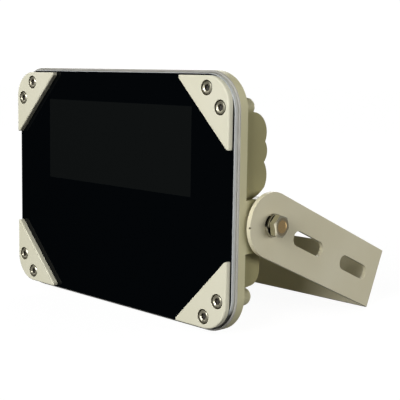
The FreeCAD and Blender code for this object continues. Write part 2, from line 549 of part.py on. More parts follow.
def hexagon(sketch, reach):
    """A regular hexagon about the sketch's origin, by the radius through its corners."""
    radius = number(reach)
    turns = [math.radians(60 * i) for i in range(6)]
    corners = [V(radius * math.cos(turn), radius * math.sin(turn), 0) for turn in turns]
    ring = sketch.addGeometry(Part.Circle(V(0, 0, 0), V(0, 0, 1), radius), True)
    sketch.addConstraint(Sketcher.Constraint("Coincident", ring, 3, -1, 1))
    dimension(sketch, reach, "Radius", ring)
    sides = []
    for i in range(6):
        side = Part.LineSegment(corners[i], corners[(i + 1) % 6])
        sides.append(sketch.addGeometry(side, False))
    for i in range(6):
        sketch.addConstraint(Sketcher.Constraint("Coincident", sides[i], 2, sides[(i + 1) % 6], 1))
        sketch.addConstraint(Sketcher.Constraint("PointOnObject", sides[i], 1, ring))
    for i in range(5):
        sketch.addConstraint(Sketcher.Constraint("Equal", sides[i], sides[i + 1]))
    sketch.addConstraint(Sketcher.Constraint("PointOnObject", sides[0], 1, -1))


def arc_between(start, end, radius):
    """An arc of up to half a turn that bows to the left of its way, or to the right for a
    negative radius."""
    chord = end - start
    reach = abs(radius)
    rise = reach - math.sqrt(max(reach ** 2 - (chord.Length / 2) ** 2, 0))
    side = V(-chord.y, chord.x, 0).normalize() * math.copysign(1, radius)
    return Part.Arc(start, (start + end) * 0.5 + side * rise, end)


def outline(sketch, corners, closed=True):
    """Lines and arcs through named corners. Each corner is (across, up, radius of the arc that
    leaves it, or None for a line)."""
    places = [V(number(across), number(up), 0) for across, up, radius in corners]
    spans = len(corners) if closed else len(corners) - 1
    ends = []
    for i in range(spans):
        start, end, radius = places[i], places[(i + 1) % len(places)], corners[i][2]
        if radius is None:
            shape = Part.LineSegment(start, end)
        else:
            shape = arc_between(start, end, number(radius))
        index = sketch.addGeometry(shape, False)
        near = sketch.getPoint(index, 1).distanceToPoint(start)
        far = sketch.getPoint(index, 2).distanceToPoint(start)
        ends.append((index, 1, 2) if near < far else (index, 2, 1))
        pin_point(sketch, index, ends[-1][1], corners[i][0], corners[i][1])
        if radius is not None:
            dimension(sketch, radius.lstrip("-"), "Radius", index)
    joins = spans if closed else spans - 1
    for i in range(joins):
        index, skip, last = ends[i]
        following, first, skip = ends[(i + 1) % spans]
        sketch.addConstraint(Sketcher.Constraint("Coincident", index, last, following, first))
    if not closed:
        index, skip, last = ends[-1]
        pin_point(sketch, index, last, corners[-1][0], corners[-1][1])


def pad(body, name, sketch, length, **options):
    """A pad of a sketch, with its length bound to a named size."""
    feature = body.newObject("PartDesign::Pad", name)
    feature.Profile = sketch
    bind(feature, Length=length)
    for option, value in options.items():
        setattr(feature, option, value)
    DOC.recompute()
    return feature


def pocket(body, name, sketch, depth=None, **options):
    """A pocket of a sketch, to a named depth or through everything; it has to cut something."""
    before = body.Shape.Volume
    feature = body.newObject("PartDesign::Pocket", name)
    feature.Profile = sketch
    for option, value in options.items():
        setattr(feature, option, value)
    if depth is None:
        feature.Type = "ThroughAll"
    else:
        bind(feature, Length=depth)
    DOC.recompute()
    if not feature.Shape.Volume < before - 1e-6:
        raise RuntimeError("pocket %s cuts nothing" % name)
    return feature


def dress_edges(body, name, kind, base, depth, size):
    """A fillet or chamfer on every edge of the last feature that lies in one plane facing the
    front, at a named depth."""
    y = number(depth)
    names = []
    for i, edge in enumerate(base.Shape.Edges, start=1):
        box = edge.BoundBox
        if abs(box.YMin - y) < 1e-4 and abs(box.YMax - y) < 1e-4:
            names.append("Edge%d" % i)
    if not names:
        raise RuntimeError("%s finds no edge" % name)
    feature = body.newObject("PartDesign::" + kind, name)
    feature.Base = (base, names)
    if kind == "Fillet":
        bind(feature, Radius=size)
    else:
        bind(feature, Size=size)
    DOC.recompute()
    return feature


def revolve(body, name, kind, sketch, axis):
    """A full revolution or groove of a sketch about one of its own axes."""
    feature = body.newObject("PartDesign::" + kind, name)
    feature.Profile = sketch
    feature.ReferenceAxis = (sketch, [axis])
    feature.Angle = 360
    DOC.recompute()
    return feature


def origin_item(body, role):
    """One of a body's own origin axes or planes."""
    return [item for item in body.Origin.OriginFeatures if item.Role == role][0]


def row_of(body, name, features, role, length, count):
    """A linear pattern along one of the body's axes."""
    pattern = body.newObject("PartDesign::LinearPattern", name)
    pattern.Originals = features
    pattern.Direction = (origin_item(body, role), [""])
    bind(pattern, Length=length, Occurrences=count)
    body.Tip = pattern
    DOC.recompute()
    return pattern


def make_rear_housing():
    """The die-cast housing: a flange that frames the glass, a tub behind it, cooling fins with
    a lobed outline, domed bosses for the corner screws, and a lug at each side for the pivot."""
    body = new_body("rear_housing")
    make_flange_and_tub(body)
    make_lugs(body)
    make_fins(body)
    make_housing_inside(body)


def make_flange_and_tub(body):
    """The flange, the bosses of the corner screws with their domed ends, and the tub."""
    flange = front_sketch(body, "flange_outline", "flange_back_y")
    rounded_rectangle(flange, "flange_wide", "flange_tall", "flange_corner")
    flange_pad = pad(body, "flange", flange, "flange_deep")
    dress_edges(body, "flange_edge", "Fillet", flange_pad, "glass_proud", "flange_round")
    bosses = front_sketch(body, "boss_circles", "boss_back_y")
    corner_screw_circles(bosses, "boss_radius")
    boss_pad = pad(body, "screw_bosses", bosses, "boss_long")
    dress_edges(body, "boss_domes", "Fillet", boss_pad, "boss_back_y", "boss_dome")
    tub = front_sketch(body, "tub_outline", "tub_back_y")
    rounded_rectangle(tub, "tub_wide", "tub_tall", "tub_corner")
    tub_pad = pad(body, "tub", tub, "tub_deep")
    dress_edges(body, "tub_edge", "Fillet", tub_pad, "tub_back_y", "tub_round")
    gland_boss = front_sketch(body, "gland_boss_circle", "gland_seat_y", up="pivot_z")
    circle(gland_boss, "0", "0", "gland_boss_radius")
    pad(body, "gland_boss", gland_boss, "gland_boss_high")


def make_housing_inside(body):
    """The glass's socket and the cavity, with the posts and tapped bores of the boards, the hole
    for the cable gland and the tapped bores of the corner screws."""
    socket = front_sketch(body, "glass_socket_outline", "glass_proud")
    rounded_rectangle(socket, "socket_wide", "socket_tall", "socket_corner")
    pocket(body, "glass_socket", socket, "socket_deep")
    cavity = front_sketch(body, "cavity_outline", "seat_y")
    rounded_rectangle(cavity, "cavity_wide", "cavity_tall", "cavity_corner")
    pocket(body, "cavity", cavity, "cavity_deep")
    posts = front_sketch(body, "post_circles", "floor_y", up="driver_z")
    four_circles(posts, "driver_screw_x", "driver_screw_z", "post_radius")
    pad(body, "driver_posts", posts, "post_high")
    board_taps = front_sketch(body, "board_tap_circles", "floor_y", up="board_z")
    four_circles(board_taps, "board_screw_x", "board_screw_z", "small_bore_radius")
    pocket(body, "board_taps", board_taps, "board_bore_deep")
    driver_taps = front_sketch(body, "driver_tap_circles", "driver_back_y", up="driver_z")
    four_circles(driver_taps, "driver_screw_x", "driver_screw_z", "small_bore_radius")
    pocket(body, "driver_taps", driver_taps, "driver_bore_deep")
    gland_hole = front_sketch(body, "gland_hole_circle", "floor_y", up="pivot_z")
    circle(gland_hole, "0", "0", "gland_hole_radius")
    pocket(body, "gland_hole", gland_hole)
    taps = front_sketch(body, "corner_tap_circles", "seat_y")
    corner_screw_circles(taps, "tapped_radius")
    pocket(body, "corner_taps", taps, "screw_hole_deep")


def make_lugs(body):
    """The lug for the tilt pivot at each side, with its tapped bore."""
    lug = sketch_on(body, "lug_outline", "YZ_Plane", "lug_inner_x")
    outline(lug, [
        ("flange_back_y", "lug_top_z", None),
        ("pivot_deep", "lug_top_z", "lug_radius"),
        ("lug_back_y", "pivot_z", "lug_radius"),
        ("pivot_deep", "lug_bottom_z", None),
        ("flange_back_y", "lug_bottom_z", None),
    ])
    lug_pad = pad(body, "pivot_lug", lug, "lug_thick")
    bore = sketch_on(body, "pivot_bore_circle", "YZ_Plane", "flange_side")
    circle(bore, "pivot_deep", "pivot_z", "pivot_bore_radius")
    bore_pocket = pocket(body, "pivot_bore", bore, "pivot_bore_deep")
    mirror = body.newObject("PartDesign::Mirrored", "both_lugs")
    mirror.Originals = [lug_pad, bore_pocket]
    mirror.MirrorPlane = (origin_item(body, "YZ_Plane"), [""])
    body.Tip = mirror
    DOC.recompute()


def make_fins(body):
    """The cooling fins: above the pivot their outline is a run of lobes, below it a block with
    one round corner, and a plain band is left between for the gland."""
    upper = sketch_on(body, "upper_fin_outline", "YZ_Plane", "fin_first_x")
    outline(upper, [
        ("fin_top_y", "fin_top_z", "lobe_a_radius"),
        ("cusp_a_y", "cusp_a_z", "lobe_b_radius"),
        ("cusp_b_y", "cusp_b_z", "lobe_c_radius"),
        ("cusp_c_y", "cusp_c_z", "lobe_d_radius"),
        ("fin_foot_y", "fin_foot_z", None),
        ("flange_back_y", "fin_foot_z", None),
        ("flange_back_y", "fin_root_z", None),
    ])
    upper_fin = pad(body, "upper_fin", upper, "fin_thick")
    lower = sketch_on(body, "lower_fin_outline", "YZ_Plane", "fin_first_x")
    outline(lower, [
        ("flange_back_y", "low_fin_top_z", None),
        ("low_fin_y", "low_fin_top_z", None),
        ("low_fin_y", "low_fin_bend_z", "low_fin_round"),
        ("low_fin_bend_y", "low_fin_bottom_z", None),
        ("flange_back_y", "low_fin_root_z", None),
    ])
    lower_fin = pad(body, "lower_fin", lower, "fin_thick")
    row_of(body, "fins", [upper_fin, lower_fin], "X_Axis", "fin_span", "fin_count")


def make_front_glass():
    """The toughened glass front, drilled for the corner screws."""
    body = new_body("front_glass")
    face = front_sketch(body, "glass_outline", "glass_thick")
    rounded_rectangle(face, "glass_wide", "glass_tall", "glass_corner")
    pane = pad(body, "pane", face, "glass_thick")
    dress_edges(body, "ground_edge", "Chamfer", pane, "0", "glass_edge")
    holes = front_sketch(body, "glass_hole_circles")
    corner_screw_circles(holes, "glass_hole_radius")
    pocket(body, "glass_holes", holes)


def make_glass_gasket():
    """The flat rubber ring that the glass is pressed on."""
    body = new_body("glass_gasket")
    ring = front_sketch(body, "gasket_outlines", "seat_y")
    rounded_rectangle(ring, "glass_wide", "glass_tall", "glass_corner")
    rounded_rectangle(ring, "gasket_inner_wide", "gasket_inner_tall", "gasket_inner_corner")
    pad(body, "gasket_ring", ring, "gasket_thick")
    holes = front_sketch(body, "gasket_hole_circles", "glass_thick")
    corner_screw_circles(holes, "glass_hole_radius")
    pocket(body, "gasket_holes", holes)


def make_ir_filter():
    """The black filter sheet behind the glass, inside the gasket."""
    body = new_body("ir_filter")
    sheet = front_sketch(body, "filter_outline", "seat_y")
    rounded_rectangle(sheet, "filter_wide", "filter_tall", "filter_corner")
    pad(body, "filter_sheet", sheet, "gasket_thick")


def make_corner_plate(name, across, up, turn):
    """One corner clamp: a triangular plate with its outer corner rounded like the glass. It is
    drawn as the top right one, from its sharp outer corner, and turned into its own corner."""
    body = new_body(name, across, "head_y", "head_z")
    body.setExpression("Placement.Base.z", "%s + %s" % (term("head_z"), term(up)))
    body.Placement.Rotation = FreeCAD.Rotation(V(0, 1, 0), turn)
    shape = front_sketch(body, name + "_outline")
    outline(shape, [
        ("-plate_leg", "0", None),
        ("-plate_corner", "0", "plate_corner"),
        ("0", "-plate_corner", None),
        ("0", "-plate_leg", None),
        ("-plate_tip", "-plate_leg", None),
        ("-plate_leg", "-plate_tip", None),
    ])
    slab = pad(body, name + "_slab", shape, "plate_thick")
    dress_edges(body, name + "_edge", "Chamfer", slab, "-plate_thick", "plate_edge")
    for label, radius, depth in (("recesses", "recess_radius", "screw_head_high"),
                                 ("holes", "plate_hole_radius", None)):
        circles = front_sketch(body, name + "_" + label + "_circles", "-plate_thick")
        circle(circles, "-screw_edge", "-screw_along", radius)
        circle(circles, "-screw_along", "-screw_edge", radius)
        pocket(body, name + "_" + label, circles, depth)


def make_screw_form(name, sizes):
    """The form of a socket screw, head towards the front, seated at its own origin."""
    body = DOC.addObject("PartDesign::Body", name)
    head = front_sketch(body, name + "_head_circle")
    circle(head, "0", "0", sizes["head_radius"])
    head_pad = pad(body, name + "_head", head, sizes["head_high"])
    dress_edges(body, name + "_edge", "Chamfer", head_pad, "-" + sizes["head_high"], sizes["edge"])
    socket = front_sketch(body, name + "_socket_outline", "-" + sizes["head_high"])
    hexagon(socket, sizes["socket_reach"])
    pocket(body, name + "_socket", socket, sizes["socket_deep"])
    shank = front_sketch(body, name + "_shank_circle")
    circle(shank, "0", "0", sizes["radius"])
    pad(body, name + "_shank", shank, sizes["long"], Reversed=True)
    return body


def make_screw_group(name, form, deep, middle, places):
    """Copies of one screw as one node: seated at a named depth, at named places across and up
    from the height of their board's or the head's middle."""
    copies = []
    for i, (across, up) in enumerate(places):
        link = DOC.addObject("App::Link", "%s_%d" % (name, i + 1))
        link.LinkedObject = form
        link.setExpression("Placement.Base.x", term(across))
        link.setExpression("Placement.Base.y", "%s + %s" % (term("head_y"), term(deep)))
        height = "%s + %s + %s" % (term("head_z"), term(middle), term(up))
        link.setExpression("Placement.Base.z", height)
        copies.append(link)
    group = DOC.addObject("Part::Compound", name)
    group.Label = name
    group.Links = copies
    NODES.append(group)


def four_places(across, up):
    """Named places in the four quarters."""
    return [(sign_x + across, sign_z + up) for sign_x, sign_z in CORNER_SIGNS]


def make_corner_screws():
    """Eight M5 socket screws, which clamp the corner plates and the glass to the housing."""
    form = make_screw_form("corner_screw_form", {
        "radius": "screw_radius", "long": "screw_long", "head_radius": "screw_head_radius",
        "head_high": "screw_head_high", "edge": "screw_head_edge",
        "socket_reach": "screw_socket_reach", "socket_deep": "screw_socket_deep"})
    places = four_places("screw_far_x", "screw_near_z") + four_places("screw_near_x", "screw_far_z")
    make_screw_group("corner_screws", form, "screw_seat_y", "0", places)


def make_board_screws():
    """The M3 screws of the two circuit boards, four to each."""
    form = make_screw_form("board_screw_form", {
        "radius": "small_radius", "long": "small_screw_long", "head_radius": "small_head_radius",
        "head_high": "small_head_high", "edge": "small_head_edge",
        "socket_reach": "small_socket_reach", "socket_deep": "small_socket_deep"})
    make_screw_group("board_screws", form, "board_front_y", "board_z",
                     four_places("board_screw_x", "board_screw_z"))
    make_screw_group("driver_screws", form, "driver_front_y", "driver_z",
                     four_places("driver_screw_x", "driver_screw_z"))


def make_mounting_bracket():
    """The U bracket, folded from one strip. Its own frame has its origin on the pivot and its
    arms along +Y, and is turned down to the rear by the arm's slope."""
    body = new_body("mounting_bracket", "0", "pivot_row_y", "pivot_row_z")
    body.Placement.Rotation = FreeCAD.Rotation(V(-1, 0, 0), number("arm_slope"))
    body.setExpression("Placement.Rotation.Angle", term("arm_slope"))
    strip = sketch_on(body, "strip_outline", "XY_Plane")
    outline(strip, [
        ("-arm_outer_x", "-strip_radius", None),
        ("-arm_outer_x", "bend_start_y", "bend_outer"),
        ("-back_outer_x", "arm_reach", None),
        ("back_outer_x", "arm_reach", "bend_outer"),
        ("arm_outer_x", "bend_start_y", None),
        ("arm_outer_x", "-strip_radius", None),
        ("arm_inner_x", "-strip_radius", None),
        ("arm_inner_x", "bend_start_y", "-strip_bend"),
        ("back_outer_x", "back_inner_y", None),
        ("-back_outer_x", "back_inner_y", "-strip_bend"),
        ("-arm_inner_x", "bend_start_y", None),
        ("-arm_inner_x", "-strip_radius", None),
    ])
    pad(body, "folded_strip", strip, "strip_wide", Midplane=True)
    ends = sketch_on(body, "arm_end_outline", "YZ_Plane")
    outline(ends, [
        ("0", "strip_past", None),
        ("0", "strip_radius", "-strip_radius"),
        ("-strip_radius", "0", "-strip_radius"),
        ("0", "-strip_radius", None),
        ("0", "-strip_past", None),
        ("-strip_past", "-strip_past", None),
        ("-strip_past", "strip_past", None),
    ])
    pocket(body, "round_arm_ends", ends, Midplane=True)
    slots = sketch_on(body, "arm_slot_outlines", "YZ_Plane")
    circle(slots, "0", "0", "arm_bore_radius")
    for start, end in (("slot_a_start", "slot_a_end"), ("slot_b_start", "slot_b_end")):
        slot_outline(slots, start, end)
    pocket(body, "arm_slots", slots, Midplane=True)
    back = front_sketch(body, "wall_hole_circles")
    circle(back, "0", "0", "wall_bore_radius")
    circle(back, "wall_side_out", "0", "wall_side_radius")
    circle(back, "-wall_side_out", "0", "wall_side_radius")
    pocket(body, "wall_holes", back)


def slot_outline(sketch, start, end):
    """A slot with round ends, between the centres of its end arcs."""
    x0, x1, r = number(start), number(end), number("slot_radius")
    top = sketch.addGeometry(Part.LineSegment(V(x1, r, 0), V(x0, r, 0)), False)
    low = sketch.addGeometry(Part.LineSegment(V(x0, -r, 0), V(x1, -r, 0)), False)
    arcs = []
    for x, first in ((x0, 90), (x1, -90)):
        full = Part.Circle(V(x, 0, 0), V(0, 0, 1), r)
        arc = Part.ArcOfCircle(full, math.radians(first), math.radians(first + 180))
        arcs.append(sketch.addGeometry(arc, False))
    near, far = arcs
    for one, one_end, other, other_end in ((top, 2, near, 1), (near, 2, low, 1),
                                           (low, 2, far, 1), (far, 2, top, 1)):
        sketch.addConstraint(Sketcher.Constraint("Tangent", one, one_end, other, other_end))
    dimension(sketch, "slot_radius", "Radius", near)
    pin_point(sketch, near, 3, start, "0")
    pin_point(sketch, far, 3, end, "0")


def side_body(name, side, seat):
    """A body on the pivot at one side of the head, with its -Y side facing outwards."""
    sign = "" if side == "right" else "-"
    body = new_body("%s_%s" % (name, side), sign + seat, "pivot_row_y", "pivot_row_z")
    turn = 90 if side == "right" else -90
    body.Placement.Rotation = FreeCAD.Rotation(V(0, 0, 1), turn)
    return body


def make_pivot_bolt(side):
    """An M8 hexagon bolt, which clamps one arm of the bracket to the head's lug."""
    body = side_body("pivot_bolt", side, "bolt_seat_x")
    head = front_sketch(body, "bolt_head_outline_" + side)
    hexagon(head, "bolt_reach")
    pad(body, "bolt_head_" + side, head, "bolt_head_high")
    corner = sketch_on(body, "bolt_chamfer_outline_" + side, "YZ_Plane")
    outline(corner, [
        ("-bolt_head_high", "bolt_face_radius", None),
        ("-bolt_head_high", "bolt_cut_radius", None),
        ("bolt_cut_y", "bolt_cut_radius", None),
    ])
    revolve(body, "bolt_chamfer_" + side, "Groove", corner, "H_Axis")
    shank = front_sketch(body, "bolt_shank_circle_" + side)
    circle(shank, "0", "0", "pivot_radius")
    pad(body, "bolt_shank_" + side, shank, "pivot_long", Reversed=True)


def make_washer(name, side, seat, radius, thick, slit=False):
    """A washer on the pivot, seated on its inner face."""
    body = side_body(name, side, seat)
    ring = front_sketch(body, "%s_circles_%s" % (name, side))
    circle(ring, "0", "0", radius)
    circle(ring, "0", "0", "washer_bore_radius")
    pad(body, "%s_ring_%s" % (name, side), ring, thick)
    if slit:
        cut = front_sketch(body, "%s_slit_outline_%s" % (name, side), "-" + thick)
        outline(cut, [
            ("-spring_slit_half", "0", None),
            ("-spring_slit_half", "spring_past", None),
            ("spring_slit_half", "spring_past", None),
            ("spring_slit_half", "0", None),
        ])
        pocket(body, "%s_slit_%s" % (name, side), cut)


def make_pivot(side):
    """What clamps one arm: friction washer, flat washer, spring washer and bolt."""
    make_washer("friction_washer", side, "flange_side", "friction_radius", "friction_thick")
    make_washer("flat_washer", side, "arm_outer_x", "washer_radius", "washer_thick")
    make_washer("spring_washer", side, "spring_seat_x", "spring_radius", "spring_thick", True)
    make_pivot_bolt(side)


def make_board(name, back, wide, tall, thick, up, screw_x, screw_z):
    """A flat board with round corners and four screw holes."""
    body = new_body(name)
    shape = front_sketch(body, name + "_outline", back, up=up)
    rounded_rectangle(shape, wide, tall, "board_corner")
    four_circles(shape, screw_x, screw_z, "small_clear_radius")
    pad(body, name + "_sheet", shape, thick)


def make_led_board():
    """The aluminium LED board on its thermal pad, with its LEDs."""
    make_board("thermal_pad", "floor_y", "board_wide", "board_tall", "thermal_thick",
               "board_z", "board_screw_x", "board_screw_z")
    make_board("led_board", "board_back_y", "board_wide", "board_tall", "board_thick",
               "board_z", "board_screw_x", "board_screw_z")
    body = new_body("led_emitters")
    first = front_sketch(body, "led_outline", "board_front_y", "led_first_x", "led_first_z")
    rounded_rectangle(first, "led_size", "led_size", "led_corner")
    grid_of(body, "led_grid", [pad(body, "led", first, "led_high")])


def grid_of(body, name, features):
    """Copies of features over the LEDs' columns and rows."""
    pattern = body.newObject("PartDesign::LinearPattern", name)
    pattern.Originals = features
    pattern.Direction = (origin_item(body, "X_Axis"), [""])
    pattern.Direction2 = (origin_item(body, "Z_Axis"), [""])
    bind(pattern, Length="led_span", Occurrences="led_columns",
         Length2="led_row_span", Occurrences2="led_rows")
    body.Tip = pattern
    DOC.recompute()


def make_lens_plate():
    """The clear moulding in front of the LEDs: a plate with one conical lens to each LED, on
    four legs that stand on the board."""
    body = new_body("lens_plate")
    shape = front_sketch(body, "lens_plate_outline", "lens_plate_back_y", up="board_z")
    rounded_rectangle(shape, "board_wide", "board_tall", "board_corner")
    pad(body, "lens_plate_sheet", shape, "lens_plate_thick")
    legs = front_sketch(body, "leg_circles", "board_front_y", up="board_z")
    four_circles(legs, "board_screw_x", "leg_out", "leg_radius")
    pad(body, "legs", legs, "leg_long")
    lens = sketch_on(body, "lens_outline", "YZ_Plane", "led_first_x", up="led_first_z")
    outline(lens, [
        ("lens_plate_back_y", "0", None),
        ("lens_plate_back_y", "lens_front", None),
        ("lens_back_y", "lens_back", None),
        ("lens_back_y", "0", None),
    ])
    grid_of(body, "lens_grid", [revolve(body, "lens", "Revolution", lens, "H_Axis")])


def make_driver_board():
    """The driver board on its posts, with inductor, capacitors and terminal block."""
    make_board("driver_board", "driver_back_y", "driver_wide", "driver_tall", "board_thick",
               "driver_z", "driver_screw_x", "driver_screw_z")
    choke = new_body("driver_inductor")
    for label, depth, radius, length in (
            ("foot", "driver_front_y", "choke_radius", "choke_flange"),
            ("winding", "choke_waist_y", "choke_waist_radius", "choke_waist_long"),
            ("top", "choke_neck_y", "choke_radius", "choke_flange")):
        part = front_sketch(choke, "inductor_%s_circle" % label, depth, "-choke_out", "driver_z")
        circle(part, "0", "0", radius)
        pad(choke, "inductor_" + label, part, length)
    cans = new_body("driver_capacitors")
    rounds = front_sketch(cans, "capacitor_circles", "driver_front_y", up="driver_z")
    circle(rounds, "can_first", "0", "can_radius")
    circle(rounds, "can_second", "0", "can_radius")
    can_pad = pad(cans, "cans", rounds, "can_high")
    dress_edges(cans, "can_tops", "Fillet", can_pad, "can_top_y", "can_round")
    block = new_body("terminal_block")
    shape = front_sketch(block, "block_outline", "driver_front_y", "block_x", "driver_z")
    rounded_rectangle(shape, "block_wide", "block_tall", "block_corner")
    pad(block, "block", shape, "block_high")
    holes = front_sketch(block, "block_hole_circles", "block_top_y", "block_x", "driver_z")
    circle(holes, "block_screw_x", "0", "block_hole_radius")
    circle(holes, "-block_screw_x", "0", "block_hole_radius")
    pocket(block, "block_holes", holes, "block_hole_deep")


def make_led_leads():
    """The two leads from the driver board up to the LED board."""
    body = new_body("led_leads")
    route = sketch_on(body, "lead_route", "YZ_Plane", "lead_x")
    outline(route, [
        ("driver_front_y", "lead_low_z", None),
        ("lead_turn_y", "lead_low_z", "lead_bend"),
        ("lead_y", "lead_low_turn_z", None),
        ("lead_y", "lead_high_turn_z", "lead_bend"),
        ("lead_turn_y", "lead_high_z", None),
        ("board_front_y", "lead_high_z", None),
    ], closed=False)
    section = front_sketch(body, "lead_circle", "driver_front_y", "lead_x", "lead_low_z")
    circle(section, "0", "0", "lead_radius")
    pipe = body.newObject("PartDesign::AdditivePipe", "lead")
    pipe.Profile = section
    pipe.Spine = route
    DOC.recompute()
    second = body.newObject("PartDesign::LinearPattern", "both_leads")
    second.Originals = [pipe]
    second.Direction = (origin_item(body, "X_Axis"), [""])
    bind(second, Length="lead_pitch")
    second.Occurrences = 2
    body.Tip = second
    DOC.recompute()


def gland_piece(name):
    """A body on the gland's axis, at the height of the pivot."""
    return new_body(name, "0", "head_y", "gland_row_z")


def make_cable_gland():
    """The cable gland in the back: body, sealing ring, locknut inside, seal and dome nut."""
    body = gland_piece("gland_body")
    hexagonal = front_sketch(body, "gland_hex_outline", "gland_neck_y")
    hexagon(hexagonal, "gland_reach")
    pad(body, "gland_hex", hexagonal, "gland_hex_thick")
    barrel = sketch_on(body, "gland_barrel_outline", "XY_Plane")
    outline(barrel, [
        ("0", "gland_inner_y", None),
        ("0", "gland_neck_end_y", None),
        ("gland_radius", "gland_neck_end_y", None),
        ("gland_radius", "gland_inner_y", None),
    ])
    revolve(body, "gland_barrel", "Revolution", barrel, "V_Axis")
    bore = front_sketch(body, "gland_bore_circle", "gland_inner_y")
    circle(bore, "0", "0", "gland_bore_radius")
    pocket(body, "gland_bore_cut", bore)
    seat = front_sketch(body, "seal_seat_circle", "seal_start_y")
    circle(seat, "0", "0", "seal_radius")
    pocket(body, "seal_seat", seat)

    for name, depth, radius, length in (("gland_oring", "gland_body_y", "ring_radius", "ring_thick"),
                                        ("gland_seal", "seal_end_y", "seal_radius", "seal_long")):
        ring = gland_piece(name)
        circles = front_sketch(ring, name + "_circles", depth)
        circle(circles, "0", "0", radius)
        inner = "gland_nut_radius" if name == "gland_oring" else "cable_radius"
        circle(circles, "0", "0", inner)
        pad(ring, name + "_ring", circles, length)

    locknut = gland_piece("gland_locknut")
    nut = front_sketch(locknut, "locknut_outline", "floor_y")
    hexagon(nut, "gland_reach")
    circle(nut, "0", "0", "gland_nut_radius")
    pad(locknut, "locknut", nut, "locknut_thick")

    dome = gland_piece("gland_nut")
    skirt = front_sketch(dome, "dome_hex_outline", "dome_shoulder_y")
    hexagon(skirt, "dome_reach")
    pad(dome, "dome_hex", skirt, "dome_hex_long")
    cap = sketch_on(dome, "dome_outline", "XY_Plane")
    outline(cap, [
        ("0", "dome_start_y", None),
        ("0", "dome_end_y", None),
        ("dome_lip_radius", "dome_end_y", None),
        ("dome_radius", "dome_shoulder_y", None),
        ("dome_radius", "dome_start_y", None),
    ])
    revolve(dome, "dome", "Revolution", cap, "V_Axis")
    inside = front_sketch(dome, "dome_bore_circle", "dome_start_y")
    circle(inside, "0", "0", "gland_nut_radius")
    pocket(dome, "dome_bore", inside, "dome_bore_deep")
    mouth = front_sketch(dome, "dome_mouth_circle", "dome_start_y")
    circle(mouth, "0", "0", "dome_mouth_radius")
    pocket(dome, "dome_mouth_cut", mouth)


def check_document():
    """Every object has recomputed, and every piece is a valid solid."""
    DOC.recompute()
    for item in DOC.Objects:
        if "Invalid" in item.State or "Error" in item.State:
            raise RuntimeError("%s failed: %s" % (item.Name, item.State))
    for node in NODES:
        shape = node.Shape
        if shape.isNull() or not shape.isValid() or not shape.Solids:
            raise RuntimeError("%s has no valid solid" % node.Label)


make_rear_housing()
make_glass_gasket()
make_ir_filter()
make_front_glass()
make_corner_plate("corner_plate_top_right", "plate_x", "plate_z", 0)
make_corner_plate("corner_plate_bottom_right", "plate_x", "-plate_z", 90)
make_corner_plate("corner_plate_bottom_left", "-plate_x", "-plate_z", 180)
make_corner_plate("corner_plate_top_left", "-plate_x", "plate_z", 270)
make_corner_screws()
make_led_board()
make_lens_plate()
make_driver_board()
make_board_screws()
make_led_leads()
make_cable_gland()
make_mounting_bracket()
make_pivot("right")
make_pivot("left")
check_document()

os.makedirs("parts", exist_ok=True)
for node in NODES:
    node.Shape.exportStep("parts/%s.step" % node.Label)
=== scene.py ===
"""Infrared illuminator: a flat cast lamp head with a black glass front, tilting on a folded U bracket."""
import json
import math

import bmesh
import bpy
from mathutils import Matrix, Vector

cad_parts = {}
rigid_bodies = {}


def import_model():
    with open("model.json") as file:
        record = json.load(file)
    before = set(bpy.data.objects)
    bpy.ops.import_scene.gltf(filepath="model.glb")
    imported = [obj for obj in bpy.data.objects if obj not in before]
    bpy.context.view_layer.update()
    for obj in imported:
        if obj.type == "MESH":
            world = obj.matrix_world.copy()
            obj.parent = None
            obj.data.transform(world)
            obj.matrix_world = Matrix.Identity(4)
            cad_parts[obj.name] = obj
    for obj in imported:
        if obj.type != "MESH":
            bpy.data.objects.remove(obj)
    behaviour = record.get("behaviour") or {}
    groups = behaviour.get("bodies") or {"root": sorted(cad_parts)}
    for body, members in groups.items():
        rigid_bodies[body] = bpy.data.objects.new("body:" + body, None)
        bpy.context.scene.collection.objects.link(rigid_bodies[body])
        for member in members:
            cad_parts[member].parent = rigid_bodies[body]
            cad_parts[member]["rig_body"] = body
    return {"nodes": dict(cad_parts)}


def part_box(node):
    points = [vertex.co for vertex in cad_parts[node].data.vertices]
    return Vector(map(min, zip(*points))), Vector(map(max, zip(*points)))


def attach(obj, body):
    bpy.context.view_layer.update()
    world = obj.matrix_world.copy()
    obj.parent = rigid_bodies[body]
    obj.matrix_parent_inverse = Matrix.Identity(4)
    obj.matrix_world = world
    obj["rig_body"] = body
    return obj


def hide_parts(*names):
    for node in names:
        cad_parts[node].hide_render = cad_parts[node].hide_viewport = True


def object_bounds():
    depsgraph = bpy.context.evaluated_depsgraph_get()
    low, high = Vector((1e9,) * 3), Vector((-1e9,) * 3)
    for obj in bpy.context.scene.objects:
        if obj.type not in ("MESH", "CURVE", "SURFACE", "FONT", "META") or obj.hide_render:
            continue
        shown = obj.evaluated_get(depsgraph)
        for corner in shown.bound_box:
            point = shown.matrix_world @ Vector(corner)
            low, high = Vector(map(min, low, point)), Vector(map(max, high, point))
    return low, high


MM = 0.001

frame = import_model()
cad_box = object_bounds()

# The mounting bracket: one strip of 3 mm steel, with slots and holes punched in the flat, folded to
# a U and powder coated in cream. The coat is satin, with a fine sandy texture, and is chipped in one
# place.
BRACKET_COAT = "D8D2B8"
BRACKET_SHADE = "D3CCB0"
COAT_ROUGH = 0.5
COAT_GRAIN = 0.9 * MM
COAT_GRAIN_HIGH = 0.06 * MM
COAT_CLOUD = 45 * MM
SHEET_EDGE = 0.3 * MM
CHIP = "5C5740"
CHIP_WIDE = 1.5 * MM
CHIP_PLACE = Vector((117.9, -65.3, 70.6)) * MM
SMOOTH_UNDER = math.radians(32)
FLAT_UNDER = math.radians(0.4)
MERGE_UNDER = 0.002 * MM


